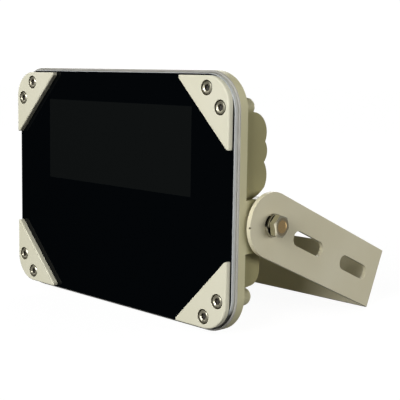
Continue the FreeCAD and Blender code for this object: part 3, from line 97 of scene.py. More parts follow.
def linear(code):
    """The linear colour of an sRGB hex code."""
    shares = [int(code[i:i + 2], 16) / 255 for i in (0, 2, 4)]
    return [c / 12.92 if c <= 0.04045 else ((c + 0.055) / 1.055) ** 2.4 for c in shares] + [1.0]


def add_node(tree, kind, inputs=(), **settings):
    """Adds a node with its settings. Each input gets a value, or a link where a socket is given."""
    node = tree.nodes.new(kind)
    for name, value in settings.items():
        setattr(node, name, value)
    for key, value in dict(inputs).items():
        if isinstance(value, bpy.types.NodeSocket):
            tree.links.new(value, node.inputs[key])
        else:
            node.inputs[key].default_value = value
    return node


def new_material(name, inputs):
    """A material with one shader. inputs is a function that is given the tree and the Object
    coordinates, and returns the shader's inputs."""
    material = bpy.data.materials.new(name)
    material.use_nodes = True
    tree = material.node_tree
    tree.nodes.clear()
    place = add_node(tree, "ShaderNodeTexCoord").outputs["Object"]
    shader = add_node(tree, "ShaderNodeBsdfPrincipled", inputs(tree, place))
    add_node(tree, "ShaderNodeOutputMaterial", {"Surface": shader.outputs["BSDF"]})
    return material


def blotches(tree, place, size, first, second):
    """Two near colours in soft clouds of a real size."""
    noise = add_node(tree, "ShaderNodeTexNoise",
                     {"Vector": place, "Scale": 1 / size, "Detail": 2.0, "Roughness": 0.5})
    ramp = add_node(tree, "ShaderNodeValToRGB", {"Fac": noise.outputs["Fac"]})
    ramp.color_ramp.elements[0].position = 0.35
    ramp.color_ramp.elements[0].color = linear(first)
    ramp.color_ramp.elements[1].position = 0.65
    ramp.color_ramp.elements[1].color = linear(second)
    return ramp.outputs["Color"]


def grain_bump(tree, place, size, height):
    """The normal of a fine grain of a real size and height."""
    noise = add_node(tree, "ShaderNodeTexNoise",
                     {"Vector": place, "Scale": 1 / size, "Detail": 3.0, "Roughness": 0.6})
    bump = add_node(tree, "ShaderNodeBump", {"Height": noise.outputs["Fac"], "Distance": height})
    return bump.outputs["Normal"]


def powder_coat(tree, place, light, shade):
    """Polyester powder coat: satin, faintly clouded, with a sandy grain. The grain is drawn about
    twice as coarse as it is, so that it shows."""
    return {"Base Color": blotches(tree, place, COAT_CLOUD, shade, light), "Roughness": COAT_ROUGH,
            "Specular IOR Level": 0.3, "Normal": grain_bump(tree, place, COAT_GRAIN, COAT_GRAIN_HIGH)}


def chipped_coat(tree, place):
    """The bracket's coat, with one small chip in the edge of the right arm's end."""
    coat = powder_coat(tree, place, BRACKET_COAT, BRACKET_SHADE)
    uneven = add_node(tree, "ShaderNodeTexNoise", {"Vector": place, "Scale": 1 / CHIP_WIDE})
    away = add_node(tree, "ShaderNodeVectorMath", {0: place, 1: CHIP_PLACE}, operation="DISTANCE")
    edge = add_node(tree, "ShaderNodeMath", {0: uneven.outputs["Fac"], 1: CHIP_WIDE}, operation="MULTIPLY")
    chip = add_node(tree, "ShaderNodeMath", {0: away.outputs["Value"], 1: edge.outputs[0]},
                    operation="LESS_THAN").outputs[0]
    coat["Base Color"] = add_node(tree, "ShaderNodeMix", {0: chip, 6: coat["Base Color"], 7: linear(CHIP)},
                                  data_type="RGBA").outputs[2]
    return coat


def finished_copy(node, materials, edge):
    """A copy of a CAD node's mesh under its own name, merged, with its flat faces whole, its edges
    rounded and its faces smooth up to those edges. The node is hidden, and the copy moves with
    the same body."""
    source = frame["nodes"][node]
    mesh = source.data.copy()
    mesh.name = node
    work = bmesh.new()
    work.from_mesh(mesh)
    bmesh.ops.remove_doubles(work, verts=work.verts, dist=MERGE_UNDER)
    bmesh.ops.dissolve_limit(work, angle_limit=FLAT_UNDER, verts=work.verts, edges=work.edges)
    work.to_mesh(mesh)
    work.free()
    piece = bpy.data.objects.new(node + "_finished", mesh)
    bpy.context.scene.collection.objects.link(piece)
    mesh.materials.clear()
    for material in materials:
        mesh.materials.append(material)
    mesh.shade_smooth()
    mesh.set_sharp_from_angle(angle=SMOOTH_UNDER)
    if edge:
        bevel = piece.modifiers.new("rounded edges", "BEVEL")
        bevel.width = edge
        bevel.segments = 2
        bevel.limit_method = "ANGLE"
        bevel.angle_limit = SMOOTH_UNDER
        bevel.use_clamp_overlap = True
    weighted = piece.modifiers.new("flat faces stay flat", "WEIGHTED_NORMAL")
    weighted.keep_sharp = True
    rounded = bpy.data.meshes.new_from_object(piece.evaluated_get(bpy.context.evaluated_depsgraph_get()))
    piece.modifiers.clear()
    rounded.name = node
    piece.data = rounded
    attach(piece, source["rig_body"])
    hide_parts(node)
    return piece


bracket_coat = new_material("cream powder coat", chipped_coat)
bracket = finished_copy("mounting_bracket", [bracket_coat], SHEET_EDGE)

# The rear housing: die-cast aluminium, blasted and coated in the same cream as the bracket. Cast
# edges are softer than folded ones, and the flange, fins, bosses and lugs are one piece with it.
# On and between the fins the coat is painted darker and more olive, as painted shade.
HOUSING_COAT = "CAC5A1"
HOUSING_SHADE = "C5BF9A"
CAST_EDGE = 0.4 * MM
FLANGE_DEEP = 7.0 * MM
FINS_FROM_TOP = 22.0 * MM
FINS_FROM_FOOT = 25.0 * MM
FIN_PAINTED_SHADE = "A09A72"
FIN_PAINTED_SHADE_DARK = "99936C"
FIN_SHADE_FADE = 4.0 * MM
SEALANT = "A19F97"
SEALANT_SHADE = "989690"
SEALANT_DEEP = 1.0 * MM
SEALANT_FACING = -0.3

housing_low, housing_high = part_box("rear_housing")
flange_back = housing_low.y + FLANGE_DEEP
fin_top = housing_high.z - FINS_FROM_TOP
fin_bottom = housing_low.z + FINS_FROM_FOOT


def coat_on_casting(tree, place):
    """The cream coat, with painted shade, darker and more olive, in the band of depth and height that the
    fins fill.
    """
    parts = add_node(tree, "ShaderNodeSeparateXYZ", {"Vector": place}).outputs
    coat = powder_coat(tree, place, HOUSING_COAT, HOUSING_SHADE)
    # painted shade: the band that the fins fill is darker and more olive
    fin_shade = blotches(tree, place, COAT_CLOUD, FIN_PAINTED_SHADE_DARK, FIN_PAINTED_SHADE)
    depth = add_node(tree, "ShaderNodeMapRange", {"Value": parts["Y"], "From Min": flange_back,
                                                  "From Max": flange_back + FIN_SHADE_FADE}).outputs[0]
    upper = add_node(tree, "ShaderNodeMapRange", {"Value": parts["Z"], "From Min": fin_top,
                                                  "From Max": fin_top - FIN_SHADE_FADE}).outputs[0]
    lower = add_node(tree, "ShaderNodeMapRange", {"Value": parts["Z"], "From Min": fin_bottom,
                                                  "From Max": fin_bottom + FIN_SHADE_FADE}).outputs[0]
    band = add_node(tree, "ShaderNodeMath", {0: upper, 1: lower}, operation="MULTIPLY").outputs[0]
    share = add_node(tree, "ShaderNodeMath", {0: band, 1: depth}, operation="MULTIPLY").outputs[0]
    coat["Base Color"] = add_node(tree, "ShaderNodeMix", {0: share, 6: coat["Base Color"], 7: fin_shade},
                                  data_type="RGBA").outputs[2]
    return coat


housing_coat = new_material("cream powder coat on a casting", coat_on_casting)
sealant = new_material("grey silicone on the rim", lambda tree, place: {
    "Base Color": blotches(tree, place, 12 * MM, SEALANT, SEALANT_SHADE),
    "Roughness": 0.55,
    "Normal": grain_bump(tree, place, 1.2 * MM, 0.05 * MM),
})
housing = finished_copy("rear_housing", [housing_coat, sealant], CAST_EDGE)
for face in housing.data.polygons:
    on_rim = face.center.y < housing_low.y + SEALANT_DEEP
    if on_rim and face.normal.y < SEALANT_FACING:
        face.material_index = 1

# The cable gland in the back wall and the pivots' friction washers: black glass-filled nylon,
# moulded, with a rubber seal and O-ring. No cable is fitted.
NYLON = "1B1B1D"
NYLON_SHADE = "161618"
RUBBER = "131314"
RUBBER_SHADE = "1A1A1A"
MOULD_CLOUD = 8 * MM
MOULD_GRAIN_HIGH = 0.02 * MM


def moulded(name, light, shade, rough, grain):
    """A moulded plastic or rubber: two near tones and a fine grain of this size."""
    return new_material(name, lambda tree, place: {
        "Base Color": blotches(tree, place, MOULD_CLOUD, light, shade),
        "Roughness": rough,
        "Normal": grain_bump(tree, place, grain, MOULD_GRAIN_HIGH),
    })


def dress(name, material):
    """Gives every slot of a CAD node a material of its own."""
    node = frame["nodes"][name]
    for place in node.material_slots:
        place.material = material


nylon = moulded("moulded black nylon", NYLON, NYLON_SHADE, 0.42, 0.6 * MM)
rubber = moulded("pressed black rubber", RUBBER, RUBBER_SHADE, 0.75, 0.4 * MM)
dress("gland_oring", rubber)
dress("gland_seal", rubber)
dress("gland_locknut", nylon)
dress("friction_washer_right", nylon)
dress("friction_washer_left", nylon)
for name, edge in (("gland_body", 0.3), ("gland_nut", 0.4)):
    finished_copy(name, [nylon], edge * MM)

# The driver board: an epoxy-glass circuit board with green solder mask on four posts of the housing,
# with its wound inductor, two electrolytic capacitors, the cable's terminal block and the LED leads.
MASK = "17442A"
MASK_SHADE = "123A24"
FERRITE = "2B2A2C"
COPPER = "A55F33"
WIRE = 0.8 * MM
WAVE_AT_SCALE_1 = 0.314  # metres between the bands of a wave texture at a scale of 1
CORE_FLANGE = 1.4 * MM
CAN = "B9B9BC"
CAN_SHADE = "AEAEB2"
TERMINAL = "1F6B38"
TERMINAL_SHADE = "1A5F31"
LEAD = "8A1410"
LEAD_SHADE = "7A100D"


def between(tree, value, low, high):
    """1 where a coordinate lies between two places, and 0 elsewhere."""
    above = add_node(tree, "ShaderNodeMath", {0: value, 1: low}, operation="GREATER_THAN").outputs[0]
    below = add_node(tree, "ShaderNodeMath", {0: value, 1: high}, operation="LESS_THAN").outputs[0]
    return add_node(tree, "ShaderNodeMath", {0: above, 1: below}, operation="MULTIPLY").outputs[0]


def wound_ferrite(tree, place):
    """Dull ferrite flanges, and lacquered copper wire round the waist between them."""
    low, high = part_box("driver_inductor")
    depth = add_node(tree, "ShaderNodeSeparateXYZ", {"Vector": place}).outputs["Y"]
    waist = between(tree, depth, low.y + CORE_FLANGE, high.y - CORE_FLANGE)
    colour = add_node(tree, "ShaderNodeMix", {0: waist, 6: linear(FERRITE), 7: linear(COPPER)},
                      data_type="RGBA").outputs[2]
    turns = add_node(tree, "ShaderNodeTexWave", {"Vector": place, "Scale": WAVE_AT_SCALE_1 / WIRE},
                     bands_direction="Y").outputs["Fac"]
    ribs = add_node(tree, "ShaderNodeMath", {0: turns, 1: waist}, operation="MULTIPLY").outputs[0]
    bump = add_node(tree, "ShaderNodeBump", {"Height": ribs, "Distance": WIRE / 4}).outputs["Normal"]
    return {"Base Color": colour, "Roughness": 0.4, "Normal": bump}


solder_mask = moulded("green solder mask on epoxy glass", MASK, MASK_SHADE, 0.35, 0.8 * MM)
dress("driver_board", solder_mask)
dress("driver_inductor", new_material("ferrite core wound with copper wire", wound_ferrite))
drawn_can = new_material("drawn aluminium can", lambda tree, place: {
    "Base Color": blotches(tree, place, 3 * MM, CAN, CAN_SHADE),
    "Metallic": 1.0,
    "Roughness": 0.32,
    "Normal": grain_bump(tree, place, 0.5 * MM, 0.01 * MM),
})
dress("driver_capacitors", drawn_can)
dress("terminal_block", moulded("moulded green polyamide", TERMINAL, TERMINAL_SHADE, 0.38, 0.7 * MM))
dress("led_leads", moulded("red silicone insulation", LEAD, LEAD_SHADE, 0.5, 0.5 * MM))

# The board screws: M3 socket screws in stainless steel, four for each of the two boards. Their
# heads are turned, their sockets are broached, and each stands at an angle of its own.
STAINLESS = "C7C3AE"
SMALL_HEAD = 5.5
SMALL_HEAD_HIGH = 1.8
SMALL_SCREW = [
    ("Tip", "round", 1.1, -5.0),
    ("Thread foot", "round", 1.5, -4.6),
    ("Thread top", "round", 1.5, 0.0),
    ("Head foot", "round", SMALL_HEAD / 2, 0.0),
    ("Head side", "round", SMALL_HEAD / 2, 1.4),
    ("Head face", "round", 2.35, SMALL_HEAD_HIGH),
    ("Socket rim", "hexagon", 1.1, SMALL_HEAD_HIGH),
    ("Socket mouth", "hexagon", 1.0, 1.7),
    ("Socket floor", "hexagon", 1.0, 0.7),
    ("Drill point", "round", 0.2, 0.25),
]
FACING_FRONT = (math.radians(90), 0.0, 0.0)
FACING_FRONT_TURNED = (math.radians(90), math.radians(60), 0.0)
SIDES = 48
FACE_SHARE = 0.877


def turned(node, rings, places, least, most, seed, material):
    """Stands for a CAD node with turned fasteners, the same at every place. Geometry Nodes draw one
    from rings round Z, and turn it on each point by an angle between the least and the most.

    A ring is (name, shape, radius, height) in millimetres. Its shape is round, hexagon, where the
    radius is half the width across flats, or chamfered, a hexagon that a 30 degree cone cuts back
    outside a round face of FACE_SHARE of its radius."""
    values = {}
    tree = bpy.data.node_groups.new(node, "GeometryNodeTree")
    tree.interface.new_socket("Places", in_out="INPUT", socket_type="NodeSocketGeometry")
    inputs = [("Least turn", "Vector", least), ("Most turn", "Vector", most), ("Seed", "Int", seed),
              ("Finish", "Material", material)]
    for label, shape, radius, height in rings:
        inputs += [(label + " radius", "Float", radius * MM), (label + " height", "Float", height * MM)]
    for label, kind, value in inputs:
        item = tree.interface.new_socket(label, in_out="INPUT", socket_type="NodeSocket" + kind)
        values[item.identifier] = value
    tree.interface.new_socket("Pieces", in_out="OUTPUT", socket_type="NodeSocketGeometry")
    entry = add_node(tree, "NodeGroupInput").outputs
    spot = add_node(tree, "GeometryNodeInputPosition").outputs[0]
    level = add_node(tree, "ShaderNodeVectorMath", {0: spot, 1: (1, 1, 0)}, operation="MULTIPLY")
    outward = add_node(tree, "ShaderNodeVectorMath", {0: level.outputs[0]}, operation="NORMALIZE").outputs[0]
    parts = add_node(tree, "ShaderNodeSeparateXYZ", {0: outward}).outputs
    angle = add_node(tree, "ShaderNodeMath", {0: parts["Y"], 1: parts["X"]}, operation="ARCTAN2")
    sixth = add_node(tree, "ShaderNodeMath", {0: angle.outputs[0], 1: math.radians(60)},
                     operation="FLOORED_MODULO")
    off_flat = add_node(tree, "ShaderNodeMath", {0: sixth.outputs[0], 1: math.radians(30)},
                        operation="SUBTRACT")
    share = add_node(tree, "ShaderNodeMath", {0: off_flat.outputs[0]}, operation="COSINE").outputs[0]
    solid = add_node(tree, "GeometryNodeMeshCircle", {"Vertices": SIDES}, fill_type="NGON").outputs[0]
    foot = top = None
    for label, shape, radius, height in rings:
        wide = entry[label + " radius"]
        high = entry[label + " height"]
        if shape == "chamfered":
            face = add_node(tree, "ShaderNodeMath", {0: wide, 1: FACE_SHARE}, operation="MULTIPLY").outputs[0]
        if shape != "round":
            wide = add_node(tree, "ShaderNodeMath", {0: wide, 1: share}, operation="DIVIDE").outputs[0]
        if shape == "chamfered":
            past = add_node(tree, "ShaderNodeMath", {0: wide, 1: face}, operation="SUBTRACT").outputs[0]
            high = add_node(tree, "ShaderNodeMath", {0: past, 1: -math.tan(math.radians(30)), 2: high},
                            operation="MULTIPLY_ADD").outputs[0]
        radial = add_node(tree, "ShaderNodeVectorMath", {0: outward, "Scale": wide}, operation="SCALE")
        lift = add_node(tree, "ShaderNodeCombineXYZ", {"Z": high})
        place = add_node(tree, "ShaderNodeVectorMath", {0: radial.outputs[0], 1: lift.outputs[0]},
                         operation="ADD").outputs[0]
        ring = {"Geometry": solid, "Position": place}
        if foot:
            grown = add_node(tree, "GeometryNodeExtrudeMesh", {"Mesh": solid, "Offset Scale": 0.0,
                                                               "Individual": False}, mode="FACES")
            if top:
                tree.links.new(top, grown.inputs["Selection"])
            top = grown.outputs["Top"]
            ring = {"Geometry": grown.outputs["Mesh"], "Selection": top, "Position": place}
        solid = add_node(tree, "GeometryNodeSetPosition", ring).outputs[0]
        foot = foot or solid
    closed = add_node(tree, "GeometryNodeJoinGeometry", {0: solid})
    tree.links.new(foot, closed.inputs[0])
    whole = add_node(tree, "GeometryNodeMergeByDistance", {"Geometry": closed.outputs[0],
                                                           "Distance": 0.001 * MM}).outputs[0]
    turn = add_node(tree, "FunctionNodeRandomValue", {0: entry["Least turn"], 1: entry["Most turn"],
                                                      "Seed": entry["Seed"]}, data_type="FLOAT_VECTOR")
    sown = add_node(tree, "GeometryNodeInstanceOnPoints", {"Points": entry["Places"], "Instance": whole,
                                                           "Rotation": turn.outputs[0]})
    real = add_node(tree, "GeometryNodeRealizeInstances", {0: sown.outputs[0]})
    finish = add_node(tree, "GeometryNodeSetMaterial", {"Geometry": real.outputs[0],
                                                        "Material": entry["Finish"]})
    add_node(tree, "NodeGroupOutput", {0: finish.outputs[0]})
    points = bpy.data.meshes.new(node)
    points.from_pydata(places, [], [])
    piece = bpy.data.objects.new(node + "_finished", points)
    modifier = piece.modifiers.new("turned fasteners", "NODES")
    modifier.node_group = tree
    for identifier, value in values.items():
        modifier[identifier] = value
    bpy.context.scene.collection.objects.link(piece)
    mesh = bpy.data.meshes.new_from_object(piece.evaluated_get(bpy.context.evaluated_depsgraph_get()))
    piece.modifiers.clear()
    work = bmesh.new()
    work.from_mesh(mesh)
    bmesh.ops.recalc_face_normals(work, faces=work.faces)
    work.to_mesh(mesh)
    work.free()
    mesh.materials.pop(index=0)  # the empty slot that stands first
    mesh.name = node
    mesh.shade_smooth()
    mesh.set_sharp_from_angle(angle=SMOOTH_UNDER)
    piece.data = mesh
    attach(piece, frame["nodes"][node]["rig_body"])
    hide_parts(node)
    return piece


stainless = new_material("turned stainless steel", lambda tree, place: {
    "Base Color": linear(STAINLESS),
    "Metallic": 1.0,
    "Roughness": 0.24,
    "Normal": grain_bump(tree, place, 0.4 * MM, 0.01 * MM),
})
for seed, node in enumerate(("driver_screws", "board_screws"), start=3):
    screws_low, screws_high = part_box(node)
    half_head = SMALL_HEAD / 2 * MM
    spots = [(x, screws_low.y + SMALL_HEAD_HIGH * MM, z)
             for x in (screws_low.x + half_head, screws_high.x - half_head)
             for z in (screws_low.z + half_head, screws_high.z - half_head)]
    piece = turned(node, SMALL_SCREW, spots, FACING_FRONT, FACING_FRONT_TURNED, seed, stainless)

# The LED board: an aluminium board with white mask on a grey thermal pad, 32 infrared LEDs in white
# ceramic with silicone domes, and their lenses in one clear acrylic moulding in front of them.
PAD = "6F767D"
PAD_SHADE = "666D74"
MASK_WHITE = "EDEBE4"
MASK_WHITE_SHADE = "E5E3DB"
CERAMIC = "E4E0D2"
DOME = "8F8468"
DOME_DEEP = 1.2 * MM
ACRYLIC = "E8ECEE"


def led_package(tree, place):
    """White ceramic, with the darker silicone dome in front."""
    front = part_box("led_emitters")[0].y
    depth = add_node(tree, "ShaderNodeSeparateXYZ", {"Vector": place}).outputs["Y"]
    dome = between(tree, depth, front - MM, front + DOME_DEEP)
    colour = add_node(tree, "ShaderNodeMix", {0: dome, 6: linear(CERAMIC), 7: linear(DOME)},
                      data_type="RGBA").outputs[2]
    return {"Base Color": colour, "Roughness": 0.2, "Normal": grain_bump(tree, place, 0.3 * MM, 0.01 * MM)}


dress("thermal_pad", moulded("grey silicone thermal pad", PAD, PAD_SHADE, 0.8, 0.6 * MM))
dress("led_board", moulded("white mask on aluminium", MASK_WHITE, MASK_WHITE_SHADE, 0.4, 1.2 * MM))
dress("led_emitters", new_material("ceramic LED package", led_package))
clear_acrylic = new_material("clear moulded acrylic", lambda tree, place: {
    "Base Color": linear(ACRYLIC),
    "Roughness": 0.04,
    "IOR": 1.49,
    "Transmission Weight": 0.9,
    "Normal": grain_bump(tree, place, 6 * MM, 0.02 * MM),
})
dress("lens_plate", clear_acrylic)

# The gasket and the filter: a die-cut black rubber ring that the glass presses on, and the cast
# acrylic sheet inside it, which is black to the eye and clear to infrared.
FILTER = "0A0809"
FILTER_SHADE = "0C0A0A"

dress("glass_gasket", rubber)
dress("ir_filter", moulded("black cast acrylic", FILTER, FILTER_SHADE, 0.08, 4 * MM))

# The front glass: a toughened pane over the black filter, coated against reflections, so that it is
# a deep black, and a shade lighter over the LEDs. Its ground edge is pale grey, with painted light
# towards the flange and painted shade below.
GLASS_BLACK = "040608"
WINDOW_BLACK = "101212"
GROUND_EDGE = "ADB0B0"
GROUND_EDGE_PAINTED_LIGHT = "DDDDD6"
GLASS_PROUD = 2.8 * MM
EDGE_PAINTED_SHADE = "141413"
EDGE_SHADE_FULL = 12.0 * MM
EDGE_SHADE_END = 16.0 * MM
FRONT_SKIN = 0.05 * MM
FRONT_FACING = -0.9

glass_low, glass_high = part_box("front_glass")
window_low, window_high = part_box("led_board")


def glass_front(tree, place):
    """Black, with a faint lighter field over the LED board."""
    parts = add_node(tree, "ShaderNodeSeparateXYZ", {"Vector": place}).outputs
    column = between(tree, parts["X"], window_low.x, window_high.x)
    row = between(tree, parts["Z"], window_low.z, window_high.z)
    field = add_node(tree, "ShaderNodeMath", {0: column, 1: row}, operation="MULTIPLY").outputs[0]
    colour = add_node(tree, "ShaderNodeMix", {0: field, 6: linear(GLASS_BLACK), 7: linear(WINDOW_BLACK)},
                      data_type="RGBA").outputs[2]
    return {"Base Color": colour, "Roughness": 0.05, "IOR": 1.5, "Specular IOR Level": 0.12}


def glass_edge(tree, place):
    """Frosted glass, painted lighter towards the flange as painted light, for light that leaves the pane
    there, and painted darker below as painted shade."""
    parts = add_node(tree, "ShaderNodeSeparateXYZ", {"Vector": place}).outputs
    share = add_node(tree, "ShaderNodeMapRange", {"Value": parts["Y"], "From Min": glass_low.y,
                                                  "From Max": glass_low.y + GLASS_PROUD}).outputs[0]
    # painted light: the edge is lighter towards the flange
    unshaded_edge = add_node(tree, "ShaderNodeMix", {0: share, 6: linear(GROUND_EDGE), 7: linear(GROUND_EDGE_PAINTED_LIGHT)},
                     data_type="RGBA").outputs[2]
    # painted shade: the edge is dark below
    edge_shade = add_node(tree, "ShaderNodeMapRange", {"Value": parts["Z"], "From Min": glass_low.z + EDGE_SHADE_FULL,
                                                 "From Max": glass_low.z + EDGE_SHADE_END}).outputs[0]
    colour = add_node(tree, "ShaderNodeMix", {0: edge_shade, 6: linear(EDGE_PAINTED_SHADE), 7: unshaded_edge},
                      data_type="RGBA").outputs[2]
    return {"Base Color": colour, "Roughness": 0.35, "Normal": grain_bump(tree, place, 0.5 * MM, 0.02 * MM)}


backed_glass = new_material("black-backed glass", glass_front)
ground_glass = new_material("ground glass edge", glass_edge)
pane = finished_copy("front_glass", [backed_glass, ground_glass], 0)
for face in pane.data.polygons:
    near_front = face.center.y < glass_low.y + FRONT_SKIN
    face.material_index = 0 if near_front and face.normal.y < FRONT_FACING else 1

# The corner plates: four small castings, coated smoother and a little lighter than the housing.
# Each clamps a corner of the glass, and its two round recesses take the screws' heads and carry painted
# shade.
PLATE_COAT = "DEDBC6"
PLATE_SHADE = "DAD7BF"
PLATE_EDGE = 0.35 * MM
RECESS_PAINTED_SHADE = "5E5A4A"
RECESS_PAINTED_SHADE_DARK = "69644F"
SCREWS_FROM_MIDDLE = [(103.5 * MM, 59.8 * MM), (91.8 * MM, 71.5 * MM)]
RECESS = 4.85 * MM

plate_coat = new_material("light powder coat",
                          lambda tree, place: powder_coat(tree, place, PLATE_COAT, PLATE_SHADE))
recess_shade = moulded("painted shade in a recess", RECESS_PAINTED_SHADE, RECESS_PAINTED_SHADE_DARK, 0.8, 0.8 * MM)
middle_z = (glass_low.z + glass_high.z) / 2


def from_screw(face):
    """How far a face's middle lies from the axis of the nearest corner screw."""
    return min(math.hypot(abs(face.center.x) - x, abs(face.center.z - middle_z) - z)
               for x, z in SCREWS_FROM_MIDDLE)


for corner in ("top_right", "bottom_right", "bottom_left", "top_left"):
    plate = finished_copy("corner_plate_" + corner, [plate_coat, recess_shade], PLATE_EDGE)
    plate_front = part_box("corner_plate_" + corner)[0].y
    # painted shade on the walls and floors of the screw recesses
    for face in plate.data.polygons:
        if from_screw(face) < RECESS and face.center.y > plate_front + PLATE_EDGE / 2:
            face.material_index = 1

# The corner screws: eight M5 socket screws in stainless steel, tightened flush with the plates.
# Their heads are turned, with a chamfered rim, and their sockets are broached and stand at any angle.
HEAD_HIGH = 2.8
CORNER_SCREW = [
    ("Tip", "round", 2.0, -20.0),
    ("Thread foot", "round", 2.5, -19.3),
    ("Thread top", "round", 2.5, 0.0),
    ("Head foot", "round", 3.95, 0.0),
    ("Head side", "round", 3.95, 2.35),
    ("Head face", "round", 3.5, HEAD_HIGH),
    ("Socket rim", "round", 3.0, HEAD_HIGH),
    ("Socket mouth", "hexagon", 2.05, 2.3),
    ("Socket floor", "hexagon", 2.05, 0.7),
    ("Drill point", "round", 0.3, 0.3),
]
SOCKET_WIDE = 2.1 * MM
SOCKET_SHADE_FROM = 0.7 * MM
SOCKET_PAINTED_SHADE = "2B2720"
SOCKET_PAINTED_SHADE_DARK = "211E19"

head_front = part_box("corner_screws")[0].y
head_foot = head_front + HEAD_HIGH * MM
corner_spots = [(x * across, head_foot, middle_z + z * up)
                for x, z in SCREWS_FROM_MIDDLE for across in (1, -1) for up in (1, -1)]
dull_stainless = new_material("weathered stainless steel", lambda tree, place: {
    "Base Color": linear(STAINLESS),
    "Metallic": 1.0,
    "Roughness": 0.36,
    "Normal": grain_bump(tree, place, 0.4 * MM, 0.02 * MM),
})
screws = turned("corner_screws", CORNER_SCREW, corner_spots, FACING_FRONT, FACING_FRONT_TURNED, 7,
                dull_stainless)
# painted shade: the inside of each socket is dark
screws.data.materials.append(moulded("painted shade in a socket", SOCKET_PAINTED_SHADE, SOCKET_PAINTED_SHADE_DARK, 0.6,
                                     0.5 * MM))
for face in screws.data.polygons:
    if from_screw(face) < SOCKET_WIDE and head_front + SOCKET_SHADE_FROM < face.center.y < head_foot:
        face.material_index = 1

# The tilt pivots: at each side an M8 bolt with a helical spring washer and a flat washer clamps the
# arm to the housing's lug. The bolt's face is dished and has kept a brown film. The radii of its rim
# and dish are in millimetres, as in its rings.
BOLT_RIM = 5.7
BOLT_DISH = 4.1
PIVOT_BOLT = [
    ("Tip", "round", 3.2, -20.0),
    ("Thread foot", "round", 4.0, -19.2),
    ("Thread top", "round", 4.0, 0.0),
    ("Bearing", "round", 5.8, 0.0),
    ("Hexagon foot", "hexagon", 6.5, 0.4),
    ("Hexagon rim", "chamfered", 6.5, 4.8),
    ("Face", "round", BOLT_RIM, 4.8),
    ("Dish rim", "round", BOLT_DISH, 4.75),
    ("Dish side", "round", 3.7, 4.45),
    ("Dish floor", "round", 0.4, 4.3),
]
BOLT_TURN = math.radians(18)
FILM = "D2B482"
FAINT_FILM = "B5A98C"
BEARING_PAINTED_SHADE = "1E1A14"
SHADE_PAST_WASHER = 0.3 * MM
WASHER_WIDE = 7.5 * MM
WASHER_EDGE = 0.15 * MM
WASHER_STEEL = "AFA994"
WASHER_SHADE = "A49E88"
RIM_PAINTED_SHADE = "14110C"
RIM_SHADE_WIDE = 0.6 * MM
RIM_SHADE_UP = 6.4 * MM
SPRING_THICK = 0.7 * MM
SPRING_WIDE = 7.3 * MM
SPRING_BORE = 4.2 * MM
SPRING_EDGE = 0.15 * MM
SPRING_STEPS = 60
SLIT_AT = {"right": math.radians(184), "left": math.radians(40)}
SLIT_WIDE = math.radians(10)

washer_low, washer_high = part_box("flat_washer_right")
pivot = (washer_low + washer_high) / 2
bolt_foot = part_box("spring_washer_right")[1].x


def from_pivot(tree, parts):
    """The distance from the pivots' axis."""
    flat = add_node(tree, "ShaderNodeCombineXYZ", {"Y": parts["Y"], "Z": parts["Z"]}).outputs[0]
    return add_node(tree, "ShaderNodeVectorMath", {0: flat, 1: (0, pivot.y, pivot.z)},
                    operation="DISTANCE").outputs["Value"]


def filmed_steel(tree, place):
    """Stainless steel with a brown film in the bolt's dished face, a faint one on its rim, and painted
    shade on the shank and on the bearing just above the spring washer."""
    parts = add_node(tree, "ShaderNodeSeparateXYZ", {"Vector": place}).outputs
    reach = from_pivot(tree, parts)
    rim = between(tree, reach, 0, BOLT_RIM * MM)
    dish = between(tree, reach, 0, BOLT_DISH * MM)
    face = add_node(tree, "ShaderNodeMix", {0: rim, 6: linear(STAINLESS), 7: linear(FAINT_FILM)},
                    data_type="RGBA").outputs[2]
    face = add_node(tree, "ShaderNodeMix", {0: dish, 6: face, 7: linear(FILM)}, data_type="RGBA").outputs[2]
    out = add_node(tree, "ShaderNodeMath", {0: parts["X"]}, operation="ABSOLUTE").outputs[0]
    # painted shade in the gap under the head, on the shank and the bearing
    under_head_shade = between(tree, out, 0, bolt_foot + SHADE_PAST_WASHER)
    colour = add_node(tree, "ShaderNodeMix", {0: under_head_shade, 6: face, 7: linear(BEARING_PAINTED_SHADE)},
                      data_type="RGBA").outputs[2]
    return {"Base Color": colour, "Metallic": 1.0, "Roughness": 0.24,
            "Normal": grain_bump(tree, place, 0.4 * MM, 0.01 * MM)}


def dull_washer(tree, place):
    """Tumbled steel, with black painted shade on the upper front of the washer's rim, under the spring
    washer's raised end.
    """
    parts = add_node(tree, "ShaderNodeSeparateXYZ", {"Vector": place}).outputs
    rim = between(tree, from_pivot(tree, parts), WASHER_WIDE - RIM_SHADE_WIDE, WASHER_WIDE * 2)
    upper = between(tree, parts["Z"], pivot.z, pivot.z + RIM_SHADE_UP)
    front = between(tree, parts["Y"], pivot.y - 2 * WASHER_WIDE, pivot.y)
    quarter = add_node(tree, "ShaderNodeMath", {0: upper, 1: front}, operation="MULTIPLY").outputs[0]
    # painted shade: the upper front of the rim is black
    rim_shade = add_node(tree, "ShaderNodeMath", {0: quarter, 1: rim}, operation="MULTIPLY").outputs[0]
    steel = blotches(tree, place, 4 * MM, WASHER_STEEL, WASHER_SHADE)
    colour = add_node(tree, "ShaderNodeMix", {0: rim_shade, 6: steel, 7: linear(RIM_PAINTED_SHADE)},
                      data_type="RGBA").outputs[2]
    return {"Base Color": colour, "Metallic": 1.0, "Roughness": 0.55,
            "Normal": grain_bump(tree, place, 0.4 * MM, 0.02 * MM)}


